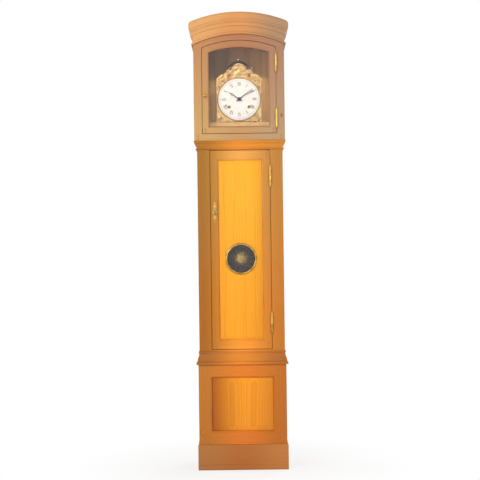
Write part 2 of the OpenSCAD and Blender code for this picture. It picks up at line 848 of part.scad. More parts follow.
module hood_door_frame() {
    y1 = hood_y + hood_front_t;
    half = hood_door_half - hood_door_stile;
    shoulder = y1 - glass_t - 2;
    color(pine) difference() {
        union() {
            slab(hood_y, y1) for (side = [0, 1]) mirror([side, 0, 0]) difference() {
                under_arch(hood_door_r, hood_door_half, hood_door_z0);
                translate([-far, 0]) square([far + half, far]);
            }
            slab(hood_y, y1) difference() {
                under_arch(hood_door_r, half, hood_door_z0);
                hood_glass_outline(0);
            }
        }
        slab(shoulder, y1 + 1) hood_glass_outline(rebate);
        translate([catch_x, 0, hood_door_z0 + catch_z]) slab(hood_y - 1, y1 + 1) circle(key_r + fit);
    }
}

module hood_door_glass() {
    shoulder = hood_y + hood_front_t - glass_t - 2;
    color("#D8E4EA40") slab(shoulder, shoulder + glass_t) hood_glass_outline(rebate - seat_gap);
}

// A turned knob on a spindle, with a tongue that turns behind the frame's stile
module hood_door_catch() {
    back = hood_y + hood_front_t;
    tongue = 30;
    color(brass) translate([catch_x, 0, hood_door_z0 + catch_z]) {
        slab(hood_y - 6, back + 4) circle(key_r);
        translate([0, hood_y - seat_gap, 0]) rotate([90, 0, 0]) rotate_extrude()
            polygon(concat([[0, 0], [8, 0], [8, 1.5], [4.2, 3], [3.8, 7]],
                arc([0, 13], 8, -48, 90, 9)));
        slab(back + 0.4, back + 3) union() {
            translate([-5, -tongue]) square([10, tongue]);
            circle(6);
            translate([0, -tongue]) circle(5);
        }
    }
}

// Dial and its surround

// A solid cap of radius r that rises forward by rise
module cap(r, rise) {
    big = (r * r + rise * rise) / (2 * rise);
    rotate([90, 0, 0]) rotate_extrude($fn = 180) intersection() {
        translate([0, rise - big]) circle(big, $fn = 360);
        square([r, rise]);
    }
}

rim_y = dial_y + dial_rise;
surround_y = rim_y + dial_t + seat_gap;

module dial() {
    color("#F4F1E8") difference() {
        union() {
            translate([0, rim_y, dial_z]) cap(dial_r, dial_rise);
            arbor(centre_at, rim_y, rim_y + dial_t, dial_r);
        }
        translate([0, rim_y + dial_t + 0.01, dial_z]) cap(dial_r - 2, dial_rise);
        arbor(centre_at, dial_y - 5, rim_y + 9, 7);
        for (at = [great_at, strike_at]) arbor(at, dial_y - 5, rim_y + 9, 6);
    }
}

// Stamped brass: a square frame for the dial with a scrolled pediment, on four feet
module dial_surround() {
    ring_r = dial_r + 2;
    feet = [[-80, 70], [80, 70], [-80, -80], [80, -80]];
    crown = pediment_h - 40;
    color(brass) {
        train_slab(surround_y, surround_y + 1.2) difference() {
            union() {
                intersection() {
                    square(2 * surround_half, center = true);
                    rotate(45) square(2 * surround_half * 1.28, center = true);
                }
                translate([0, crown]) circle(40);
                translate([-62, 60]) square([124, crown - 52]);
                for (side = [-1, 1]) {
                    translate([side * 52, crown - 22]) circle(24);
                    translate([side * 84, 92]) circle(22);
                    translate([side * 98, 66]) circle(14);
                }
            }
            circle(dial_r - 12);
        }
        translate([0, surround_y, dial_z]) rotate([90, 0, 0]) rotate_extrude($fn = 180)
            intersection() {
                translate([ring_r + 2, 0]) circle(3);
                translate([0, -0.01]) square([200, 10]);
            }
        translate([0, surround_y, dial_z + crown]) cap(26, 5);
        for (side = [-1, 1]) translate([side * 52, surround_y, dial_z + crown - 22]) cap(13, 4);
        for (at = feet) arbor(at, surround_y + 1, plate_y, 3);
    }
}

// Plates

barrel_pivot = 4;
centre_pivot = 3;
crutch_hole = 5;

// A plate with the bearing holes that both plates share
module plate_outline() {
    corner = 24;
    difference() {
        translate([-plate_half, foot_v]) square([2 * plate_half, plate_top - foot_v]);
        for (side = [-1, 1]) translate([side * plate_half, plate_top]) rotate(45)
            square(corner * sqrt(2), center = true);
        for (at = [great_at, strike_at]) translate(at) circle(barrel_pivot + fit);
        for (at = [third_at, escape_at, pin_at, warning_at, fly_at, hammer_at])
            translate(at) circle(pivot_r + fit);
    }
}

module front_plate() {
    color(brass) {
        train_slab(plate_y, inside_plate_y) difference() {
            plate_outline();
            translate(centre_at) circle(centre_pivot + fit);
            translate(anchor_at) circle(pivot_r + fit);
        }
        arbor(minute_at, plate_y - motion_room + 6, plate_y, 2.4);
    }
}

// The back plate has the pillars riveted in, and a wide hole for the anchor's arbor
module back_plate() {
    color(brass) {
        train_slab(back_plate_y, back_plate_y + plate_t) difference() {
            plate_outline();
            translate(centre_at) circle(pivot_r + fit);
            translate(anchor_at) circle(crutch_hole);
        }
        for (at = pillars_at) translate([at[0], back_plate_y, dial_z + at[1]]) rotate([90, 0, 0])
            rotate_extrude() polygon([[0, 0], [pillar_r, 0], [pillar_r, 6], [pillar_r - 2, 9],
                [pillar_r - 2, 22], [pillar_r - 0.5, 25], [pillar_r - 2, 28],
                [pillar_r - 2, plate_gap - 9], [pillar_r, plate_gap - 6], [pillar_r, plate_gap],
                [0, plate_gap]]);
    }
}

// Teeth. A wheel's tooth has radial flanks below its pitch circle and an ogive above it, close
// to the epicycloid that rolls on a pinion's straight leaves. Shares are half a tooth's width as
// a part of the pitch, and top is the most that a tooth rises above the pitch circle.

wheel_share = 0.235;
leaf_share = 0.19;
motion_share = 0.2;
motion_top = 0.8;

function wheel_points(m, teeth, mate, share = wheel_share, top = 1.05) =
    let (r = m * teeth / 2,
        half = 360 / teeth * share,
        rho = m * mate / 4,
        u = pow(6 * r * half * PI / 180 / rho, 1 / 3),
        tip = rho * (r + rho) * u * u / (2 * r),
        high = min(0.62 * tip, top * m),
        root = r - 1.25 * m - 0.15,
        side = [[root, half], [r, half], [r + 0.55 * high, half * (1 - pow(0.55 * high / tip, 1.5))],
            [r + high, half * (1 - pow(high / tip, 1.5))]])
    [for (i = [0:teeth - 1]) each
        concat([for (k = [0:3]) polar([0, 0], side[k][0], 360 / teeth * i - side[k][1])],
            [for (k = [3:-1:0]) polar([0, 0], side[k][0], 360 / teeth * i + side[k][1])])];

function pinion_points(m, leaves) =
    let (r = m * leaves / 2,
        half = 360 / leaves * leaf_share,
        root = r - 1.2 * m - 0.2,
        side = [[root, half], [r, half], [r + 0.3 * m, 0.75 * half], [r + 0.5 * m, 0.3 * half]])
    [for (i = [0:leaves - 1]) each
        concat([for (k = [0:3]) polar([0, 0], side[k][0], 360 / leaves * (i + 0.5) - side[k][1])],
            [for (k = [3:-1:0]) polar([0, 0], side[k][0], 360 / leaves * (i + 0.5) + side[k][1])])];

// A crossed-out wheel whose tooth points along toward, the direction of its pinion
module wheel(m, teeth, mate, toward, spokes, bore) {
    rim = m * teeth / 2 - 1.25 * m - 4.5;
    hub = bore + 5;
    difference() {
        rotate(toward) polygon(wheel_points(m, teeth, mate));
        difference() {
            circle(rim);
            circle(hub);
            for (i = [0:spokes - 1]) rotate(i * 360 / spokes + 90)
                translate([0, -2.2]) square([rim + 2, 4.4]);
        }
        circle(bore);
    }
}

// A pinion with a space between leaves that faces back along from, the direction of its wheel
module pinion(m, leaves, from) {
    rotate(from) polygon(pinion_points(m, leaves));
}

// An arbor with pivots, between the plates
module pivoted_arbor(at, r, front = plate_y - 1, back = back_plate_y + plate_t + 1) {
    arbor(at, inside_plate_y + 1, back_plate_y - 1, r);
    arbor(at, front, inside_plate_y + 1, pivot_r);
    arbor(at, back_plate_y - 1, back, pivot_r);
}

// Places an outline in the train: y0 is measured back from the front plate's inner face
module in_train(at, y0, t) {
    train_slab(inside_plate_y + y0, inside_plate_y + y0 + t, at) children();
}

// Going train

module centre_wheel() {
    long = 13;
    color(brass) {
        in_train(centre_at, centre_y, wheel_t)
            wheel(centre_m, centre_teeth, third_leaves, aim(centre_at, third_at), 5, 0);
        in_train(centre_at, great_y - 5, long) pinion(great_m, centre_leaves, aim(centre_at, great_at));
        arbor(centre_at, dial_y - 14, back_plate_y - 1, 2.7);
        arbor(centre_at, plate_y - 1, inside_plate_y + 1, centre_pivot);
        arbor(centre_at, back_plate_y - 1, back_plate_y + plate_t + 1, pivot_r);
    }
}

module third_wheel() {
    color(brass) {
        in_train(third_at, third_y, wheel_t)
            wheel(third_m, third_teeth, escape_leaves, aim(third_at, escape_at), 4, 0);
        in_train(third_at, centre_y - 5, 12) pinion(centre_m, third_leaves, aim(third_at, centre_at));
        pivoted_arbor(third_at, arbor_r);
    }
}

// The escape wheel's teeth are pointed, and lean into the turn
module escape_outline() {
    step = 360 / escape_teeth;
    root = escape_r - 4.5;
    difference() {
        polygon([for (i = [0:escape_teeth - 1]) each [polar([0, 0], escape_r, -i * step),
            polar([0, 0], root, -(i + 0.08) * step), polar([0, 0], root, -(i + 0.4) * step),
            polar([0, 0], escape_r, -(i + 0.95) * step)]]);
        difference() {
            circle(root - 3);
            circle(6);
            for (i = [0:3]) rotate(i * 90) translate([0, -1.4]) square([root, 2.8]);
        }
    }
}

module escape_wheel() {
    color(brass) {
        in_train(escape_at, escape_y, 2.5) escape_outline();
        in_train(escape_at, third_y - 5, 14) pinion(third_m, escape_leaves, aim(escape_at, third_at));
        pivoted_arbor(escape_at, 2);
    }
}

module great_wheel() {
    color(brass) in_train(great_at, great_y, 3.5) difference() {
        wheel(great_m, great_teeth, centre_leaves, aim(great_at, centre_at), 4, 10);
        circle(5 + fit);
    }
}

// A barrel with a grooved drum, a ratchet beside its great wheel, and a winding square
module barrel(at, y0, ratchet_y) {
    color(brass) translate([at[0], inside_plate_y + y0 + barrel_l, dial_z + at[1]]) rotate([90, 0, 0])
        rotate_extrude() difference() {
            union() {
                translate([4.5, 0]) square([barrel_r + 0.6 * line_r - 4.5, barrel_l]);
                for (y = [0, barrel_l - 2]) translate([4.5, y]) square([barrel_r, 2]);
            }
            for (i = [0:barrel_turns - 1])
                translate([line_lie, groove_edge + (i + 0.5) * groove_pitch]) circle(line_r + seat_gap);
        }
    color(steel) {
        in_train(at, ratchet_y, 2) ratchet_outline();
        arbor(at, inside_plate_y + 1, back_plate_y - 1, 5);
        arbor(at, plate_y - 3, inside_plate_y + 1, barrel_pivot);
        arbor(at, back_plate_y - 1, back_plate_y + plate_t + 2, barrel_pivot);
        train_slab(rim_y - 2, plate_y - 3, at) square(5.6, center = true);
    }
}

module ratchet_outline() {
    teeth = 24;
    polygon([for (i = [0:teeth - 1]) each [polar([0, 0], 17, i * 360 / teeth),
        polar([0, 0], 14.5, (i + 0.1) * 360 / teeth)]]);
}

module going_barrel() {
    barrel(great_at, going_barrel_y, going_barrel_y + barrel_l);
}

// The anchor on its arbor, and the crutch whose fork straddles the pendulum rod
module anchor_half() {
    polygon([[0, 6], [8, 4.5], [19, -4], [22.6, -12], [17.95, -15.75], [15.6, -13.6], [13.6, -6.5],
        [5, -1.5], [0, -5]]);
}

module anchor() {
    crutch_y = back_plate_y + plate_t + 6;
    crutch_l = 86;
    fork = rod_w / 2 + seat_gap;
    rear = swing_y + rod_t / 2 + 4;
    color(steel) {
        in_train(anchor_at, escape_y - 1.5, 5.5) union() {
            anchor_half();
            mirror([1, 0, 0]) anchor_half();
        }
        arbor(anchor_at, inside_plate_y + 1, crutch_y + 6, 2);
        arbor(anchor_at, plate_y - 1, inside_plate_y + 1, pivot_r);
        arbor(anchor_at, crutch_y + 6, crutch_y + 12, pivot_r);
        train_slab(crutch_y, crutch_y + 3, anchor_at) union() {
            circle(5.5);
            translate([-2.2, -crutch_l]) square([4.4, crutch_l]);
            translate([-fork - 4, -crutch_l - 4]) square([2 * fork + 8, 8]);
        }
        for (side = [-1, 1]) train_slab(crutch_y, rear, anchor_at)
            translate([side * (fork + 1.5) - 1.5, -crutch_l - 4]) square([3, 8]);
    }
}

// The cock that carries the anchor's rear pivot and the pendulum's spring. The spring bends at
// the anchor's axis, where its two halves meet.
spring_t = 0.3;

module pendulum_cock() {
    cock_y = back_plate_y + plate_t + 14;
    half = 24;
    foot = 8;
    low = -9;
    high = 15;
    color(brass) difference() {
        union() {
            train_slab(cock_y, cock_y + 3.5, anchor_at)
                translate([-half, low]) square([2 * half, high - low]);
            for (side = [0, 1]) mirror([side, 0, 0])
                train_slab(back_plate_y + plate_t, cock_y, anchor_at)
                    translate([half - foot, low]) square([foot, high - low]);
            train_slab(cock_y, swing_y + 8, anchor_at) translate([low, 6]) square([-2 * low, high - 6]);
            train_slab(swing_y - 6, swing_y + 6, anchor_at)
                translate([-spring_t / 2, seat_gap / 2]) square([spring_t, 8]);
        }
        arbor(anchor_at, cock_y - 5, cock_y + 10, pivot_r + fit);
    }
}

// The rod hangs on its half of the spring, and ends in a threaded tip with the rating nut that
// the bob rests on
module pendulum_rod() {
    top = suspension_z;
    tip_r = 2;
    nut_h = 8;
    bob_low = window_z - bob_r + bob_rim;
    color(steel) translate([0, swing_y, 0]) {
        board([-spring_t / 2, -6, top - 14], [spring_t / 2, 6, top - seat_gap / 2]);
        board([-5, -7, top - 24], [5, 7, top - 12]);
        board([-rod_w / 2, -rod_t / 2, bob_low + 8], [rod_w / 2, rod_t / 2, top - 23]);
        translate([0, 0, bob_low - 30]) cylinder(r = tip_r, h = 40);
    }
    color(brass) translate([0, swing_y, bob_low - nut_h - seat_gap]) difference() {
        cylinder(r = 9, h = nut_h);
        translate([0, 0, -1]) cylinder(r = tip_r + fit, h = nut_h + 2);
    }
}

// The bob is a lens with a narrow flat rim
bob_rim = 1;

module pendulum_bob() {
    big = (pow(bob_r, 2) + pow(bob_t / 2, 2)) / bob_t;
    color(brass) difference() {
        translate([0, swing_y, window_z]) intersection() {
            translate([0, big - bob_t / 2, 0]) sphere(big, $fn = 180);
            translate([0, bob_t / 2 - big, 0]) sphere(big, $fn = 180);
            rotate([90, 0, 0]) cylinder(r = bob_r - bob_rim, h = 60, center = true);
        }
        board([-rod_w / 2 - seat_gap, swing_y - rod_t / 2 - seat_gap, window_z - 2 * bob_r],
            [rod_w / 2 + seat_gap, swing_y + rod_t / 2 + seat_gap, window_z + 2 * bob_r]);
    }
}

// Motion work and hands

cannon_y = plate_y - 9;
hour_y = plate_y - 16;

module cannon_pinion() {
    bore = 2.7 + fit / 2;
    color(brass) {
        train_slab(cannon_y, cannon_y + 3) difference() {
            rotate(-90)
                polygon(wheel_points(motion_m, cannon_teeth, minute_teeth, motion_share, motion_top));
            circle(bore);
        }
        train_slab(dial_y - 12.5, cannon_y + 7) difference() {
            circle(4.2);
            circle(bore);
        }
    }
}

module minute_wheel() {
    color(brass) {
        train_slab(cannon_y, cannon_y + 3, minute_at) difference() {
            rotate(180 / minute_teeth + 90)
                polygon(wheel_points(motion_m, minute_teeth, cannon_teeth, motion_share, motion_top));
            circle(2.4 + fit);
        }
        train_slab(hour_y - 2, cannon_y + 0.01, minute_at) difference() {
            pinion(hour_m, minute_leaves, 90);
            circle(2.4 + fit);
        }
    }
}

module hour_wheel() {
    color(brass) {
        train_slab(hour_y, hour_y + 2.5) difference() {
            rotate(-90) polygon(wheel_points(hour_m, hour_teeth, minute_leaves));
            circle(4.2 + fit);
        }
        train_slab(dial_y - 8, hour_y + 0.01) difference() {
            circle(5.6);
            circle(4.2 + fit);
        }
    }
}

// A hand's outline points up: a hub, a tapering stem, a pierced ring and a leaf-shaped tip
module hand_outline(length, ring, hub, bore) {
    ring_at = length * 0.66;
    tail = hub + length * 0.09;
    difference() {
        union() {
            circle(hub);
            polygon([[-2.6, 0], [2.6, 0], [1.5, ring_at - ring + 1], [-1.5, ring_at - ring + 1]]);
            translate([0, ring_at]) circle(ring);
            polygon([[-2.4, ring_at + ring - 1], [2.4, ring_at + ring - 1], [0, length]]);
            polygon(concat([[2, 2 - hub], [-2, 2 - hub]], arc([0, -tail], 2.6, 120, 420, 12)));
        }
        translate([0, ring_at]) circle(ring - 1.9);
        circle(bore);
    }
}

module hour_hand() {
    color(steel) train_slab(dial_y - 7.5, dial_y - 6)
        rotate(-30 * (hour_shown + minute_shown / 60)) hand_outline(hour_l, 7.5, 9, 5.6 + fit / 2);
}

module minute_hand() {
    color(steel) train_slab(dial_y - 11.8, dial_y - 10.4)
        rotate(-6 * minute_shown) hand_outline(minute_l, 6, 7.5, 4.2 + fit / 2);
    color(brass) translate([0, dial_y - 12.6, dial_z]) rotate([90, 0, 0]) difference() {
        cylinder(r1 = 5, r2 = 3.8, h = 4);
        translate([0, 0, -1]) cylinder(r = 2.7 + fit / 2, h = 2.5);
    }
}

// Strike train

module strike_great_wheel() {
    color(brass) in_train(strike_at, strike_great_y, 3.5) difference() {
        wheel(great_m, strike_teeth, pin_leaves, aim(strike_at, pin_at), 4, 10);
        circle(5 + fit);
    }
}

module strike_barrel() {
    barrel(strike_at, strike_barrel_y, strike_barrel_y - 2);
}

pin_circle = 28;
lift_pin_r = 1.5;

module pin_wheel() {
    color(brass) {
        in_train(pin_at, pin_y, wheel_t)
            wheel(third_m, pin_teeth, warning_leaves, aim(pin_at, warning_at), 4, 0);
        in_train(pin_at, strike_great_y - 5, 13) pinion(great_m, pin_leaves, aim(pin_at, strike_at));
        pivoted_arbor(pin_at, arbor_r);
        for (i = [0:lift_pins - 1])
            in_train(polar(pin_at, pin_circle, 360 / lift_pins * i), tail_y - 1, pin_y - tail_y + 1)
                circle(lift_pin_r);
    }
}

module warning_wheel() {
    color(brass) {
        in_train(warning_at, warning_y, wheel_t)
            wheel(warning_m, warning_teeth, fly_leaves, aim(warning_at, fly_at), 4, 0);
        in_train(warning_at, pin_y - 4, 12) pinion(third_m, warning_leaves, aim(warning_at, pin_at));
        pivoted_arbor(warning_at, 2);
    }
}

module fly() {
    blade_w = 40;
    blade_l = 28;
    color(brass) {
        in_train(fly_at, warning_y - 5, 13) pinion(warning_m, fly_leaves, aim(fly_at, warning_at));
        pivoted_arbor(fly_at, 1.8);
        in_train(fly_at, 10, blade_l) rotate(20) union() {
            translate([-blade_w / 2, -0.5]) square([blade_w, 1]);
            circle(2.8);
        }
    }
}

// The hammer's arm leans in to the bell, and its tail ends just outside the lifting pins
bell_rise = 31;
bell_z = dial_z + plate_top + bell_rise;
bell_y = inside_plate_y + hammer_y + 1.5;

module hammer() {
    head = [bell_r + 5, plate_top + bell_rise + 8];
    arm_a = aim(hammer_at, head);
    arm_l = norm(head - hammer_at);
    tail_l = norm(pin_at - hammer_at) - pin_circle - 2.3;
    color(steel) {
        in_train(hammer_at, hammer_y, 3) union() {
            rotate(arm_a) translate([0, -1.6]) square([arm_l, 3.2]);
            circle(5);
        }
        train_slab(bell_y - 7, bell_y + 7, head) circle(5.2);
        in_train(hammer_at, tail_y, 4) union() {
            rotate(aim(hammer_at, pin_at)) translate([0, -1.4]) square([tail_l, 2.8]);
            circle(5);
        }
        pivoted_arbor(hammer_at, arbor_r);
    }
}

// The bell is a shell with its rim down, hung from the stand's arm
module bell() {
    big = (pow(bell_r, 2) + pow(bell_h, 2)) / (2 * bell_h);
    thick = 3;
    color(brass) translate([0, bell_y, bell_z]) difference() {
        intersection() {
            translate([0, 0, bell_h - big]) difference() {
                sphere(big, $fn = 180);
                sphere(big - thick, $fn = 180);
            }
            translate([0, 0, 50]) cube([200, 200, 100], center = true);
        }
        cylinder(r = 3 + fit, h = 100);
    }
}

module bell_stand() {
    top = bell_z + bell_h + 8;
    color(steel) {
        board([-7, back_plate_y - 3, dial_z + plate_top - 11], [7, back_plate_y, top]);
        board([-7, bell_y - 7, top - 3], [7, back_plate_y - 2, top]);
        translate([0, bell_y, bell_z + bell_h - 9]) cylinder(r = 3, h = 17);
        translate([0, bell_y, bell_z + bell_h + 0.3]) cylinder(r = 7, h = 5);
        translate([0, bell_y, bell_z + bell_h - 9]) cylinder(r = 7, h = 5.4);
    }
}

// Weights and lines

module weight(x, y) {
    color("#4A4642") translate([x, y, hook_z]) {
        translate([0, 0, -30 - weight_h]) rotate_extrude() polygon(concat(
            [[0, 0], [weight_r - 3, 0], [weight_r, 3], [weight_r, weight_h - 6]],
            arc([weight_r - 10, weight_h - 10], 10, 25, 85, 5),
            [[8, weight_h + 2], [6, weight_h + 8], [0, weight_h + 8]]));
        translate([0, 0, -24]) cylinder(r = 2, h = 13);
        translate([0, 2, -6]) rotate([90, 0, 0]) linear_extrude(4) difference() {
            circle(7);
            circle(4.2);
        }
    }
}

module line(x, y) {
    color("#D8C9A0") translate([x, y, hook_z + 1.3]) cylinder(r = line_r, h = weight_drop - 1.3, $fn = 24);
}

module going_weight() {
    weight(-line_x, going_line_y);
}

module going_line() {
    line(-line_x, going_line_y);
}

module strike_weight() {
    weight(line_x, strike_line_y);
}

module strike_line() {
    line(line_x, strike_line_y);
}

plinth();
bottom_board();
base_frame();
base_panel();
base_sides();
waist_moulding();
trunk_sides();
trunk_frame();
back_boards();
throat_moulding();
seat_board();
trunk_hinge_pins();
trunk_door_frame();
trunk_door_panel();
window_bezel();
window_glass();
trunk_hinge_knuckles();
trunk_escutcheon();
trunk_lock_case();
trunk_lock_bolt();
trunk_key();
hood_frame();
hood_sides();
hood_roof();
cornice();
hood_hinge_pins();
hood_door_frame();
hood_door_glass();
hood_hinge_knuckles();
hood_door_catch();
front_plate();
back_plate();
dial();
dial_surround();
pendulum_cock();
bell();
bell_stand();
centre_wheel();
cannon_pinion();
minute_hand();
hour_wheel();
hour_hand();
minute_wheel();
great_wheel();
going_barrel();
third_wheel();
escape_wheel();
anchor();
pendulum_rod();
pendulum_bob();
going_weight();
going_line();
strike_great_wheel();
strike_barrel();
pin_wheel();
warning_wheel();
fly();
hammer();
strike_weight();
strike_line();
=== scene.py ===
"""Tall case clock in waxed pine: its finishes, small fittings, camera and light."""
from __future__ import annotations

import logging
import math
from dataclasses import dataclass, field, replace
from enum import Enum
from typing import Any, Callable, Iterable, Sequence

import bpy
import numpy as np
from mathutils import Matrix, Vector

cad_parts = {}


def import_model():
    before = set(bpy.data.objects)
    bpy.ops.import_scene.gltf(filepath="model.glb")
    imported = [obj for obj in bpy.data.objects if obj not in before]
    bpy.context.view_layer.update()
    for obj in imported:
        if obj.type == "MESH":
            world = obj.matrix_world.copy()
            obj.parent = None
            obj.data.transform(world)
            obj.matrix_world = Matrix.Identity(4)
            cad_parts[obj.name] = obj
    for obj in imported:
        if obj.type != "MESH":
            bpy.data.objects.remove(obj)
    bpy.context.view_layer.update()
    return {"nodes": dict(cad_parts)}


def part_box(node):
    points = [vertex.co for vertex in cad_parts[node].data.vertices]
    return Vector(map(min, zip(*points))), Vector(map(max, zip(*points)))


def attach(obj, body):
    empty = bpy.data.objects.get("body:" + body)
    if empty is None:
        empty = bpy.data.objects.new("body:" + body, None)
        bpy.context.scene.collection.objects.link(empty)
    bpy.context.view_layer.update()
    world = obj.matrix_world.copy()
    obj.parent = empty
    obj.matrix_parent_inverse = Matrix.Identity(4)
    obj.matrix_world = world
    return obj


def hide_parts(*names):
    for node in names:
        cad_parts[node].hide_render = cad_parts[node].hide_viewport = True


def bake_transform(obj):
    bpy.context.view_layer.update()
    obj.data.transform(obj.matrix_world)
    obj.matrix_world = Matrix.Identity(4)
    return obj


LOG = logging.getLogger("clock")
Array = np.ndarray
Triple = tuple[float, float, float]
Socket = bpy.types.NodeSocket
Tree = bpy.types.NodeTree
# Points, N by 3, with arrays of faces; each array's faces have the same number of corners.
Surface = tuple[Array, list[Array]]

# The shared frame is in metres: x runs across the clock, y towards its back and z up.
FRONT: Triple = (0.0, -1.0, 0.0)
BACK: Triple = (0.0, 1.0, 0.0)
FULL_TURN = 2 * math.pi
WHITE = (1.0, 1.0, 1.0, 1.0)
# What makes a Mix node mix colours, with A on socket 6 and B on socket 7.
COLOUR: dict[str, Any] = {"out": 2, "data_type": "RGBA"}


# Colour and nodes


def linear(code: str) -> tuple[float, float, float, float]:
    """Turns an sRGB hex colour to linear RGBA.

    Args:
        code: six hex digits.

    Returns:
        The linear red, green, blue and an alpha of 1.
    """
    parts = [int(code[i : i + 2], 16) / 255 for i in (0, 2, 4)]
    bent = [c / 12.92 if c <= 0.04045 else ((c + 0.055) / 1.055) ** 2.4 for c in parts]
    return (bent[0], bent[1], bent[2], 1.0)


def add(tree: Tree, kind: str, links: dict[Any, Any] | Sequence[Any] = (), out: int | str = 0,
        **settings: Any) -> Any:
    """Adds a node with its settings and links.

    Args:
        tree: the tree that gets the node.
        kind: the node's type name, without "ShaderNode".
        links: output sockets or plain values, by the input's name or number, or one after the other.
        out: name or number of the output that is wanted.
        settings: the node's own properties.

    Returns:
        That output of the new node, or None for a node that has no outputs.
    """
    node = tree.nodes.new("ShaderNode" + kind)
    for name, value in settings.items():
        setattr(node, name, value)
    for name, value in links.items() if isinstance(links, dict) else enumerate(links):
        if isinstance(value, Socket):
            tree.links.new(value, node.inputs[name])
        else:
            node.inputs[name].default_value = value
    return node.outputs[out] if len(node.outputs) else None


def stops(ramp: bpy.types.ColorRamp, points: Iterable[tuple[float, str]]) -> None:
    """Sets a colour ramp's stops.

    Args:
        ramp: the ramp.
        points: positions from 0 to 1, each with a hex colour.
    """
    while len(ramp.elements) > 1:
        ramp.elements.remove(ramp.elements[-1])
    first, *others = points
    ramp.elements[0].position = first[0]
    ramp.elements[0].color = linear(first[1])
    for place, code in others:
        ramp.elements.new(place).color = linear(code)


def in_sight(tree: Tree) -> Socket:
    """Tells what the camera sees, itself or in a mirror or through glass, from bounced light.

    Args:
        tree: the tree that gets the nodes.

    Returns:
        A socket that is 1 where the camera sees the surface and 0 where it only lights others.
    """
    path = add(tree, "LightPath").node.outputs
    seen = add(tree, "Math", [path["Is Camera Ray"], path["Is Glossy Ray"]], operation="MAXIMUM")
    seen = add(tree, "Math", [seen, path["Is Transmission Ray"]], operation="MAXIMUM")
    first = add(tree, "Math", [path["Diffuse Depth"], 0.5], operation="LESS_THAN")
    return add(tree, "Math", [seen, first], operation="MULTIPLY")


# Finishes


@dataclass(frozen=True)
class Finish:
    """A finish: its material's name, and the nodes that give its look."""

    name: str

    def build(self) -> bpy.types.Material:
        """Makes the material from the finish's own nodes.

        Returns:
            The new material.
        """
        material = bpy.data.materials.new(self.name)
        material.use_nodes = True
        tree = material.node_tree
        tree.nodes.clear()
        look = self.nodes(tree, add(tree, "TexCoord", out="Object"))
        add(tree, "OutputMaterial", {"Surface": look})
        return material

    def nodes(self, tree: Tree, spot: Socket) -> Socket:
        """Adds the nodes; each kind of finish has its own.

        Args:
            tree: the material's tree.
            spot: the object coordinates.

        Returns:
            The shader's socket.
        """
        raise NotImplementedError


class Grain(Enum):
    """Which way the grain runs in a node's boards."""

    UPRIGHT = "upright"
    ACROSS = "across"
    DEEP = "deep"
    FRAMED = "framed"
    MITRED = "mitred"


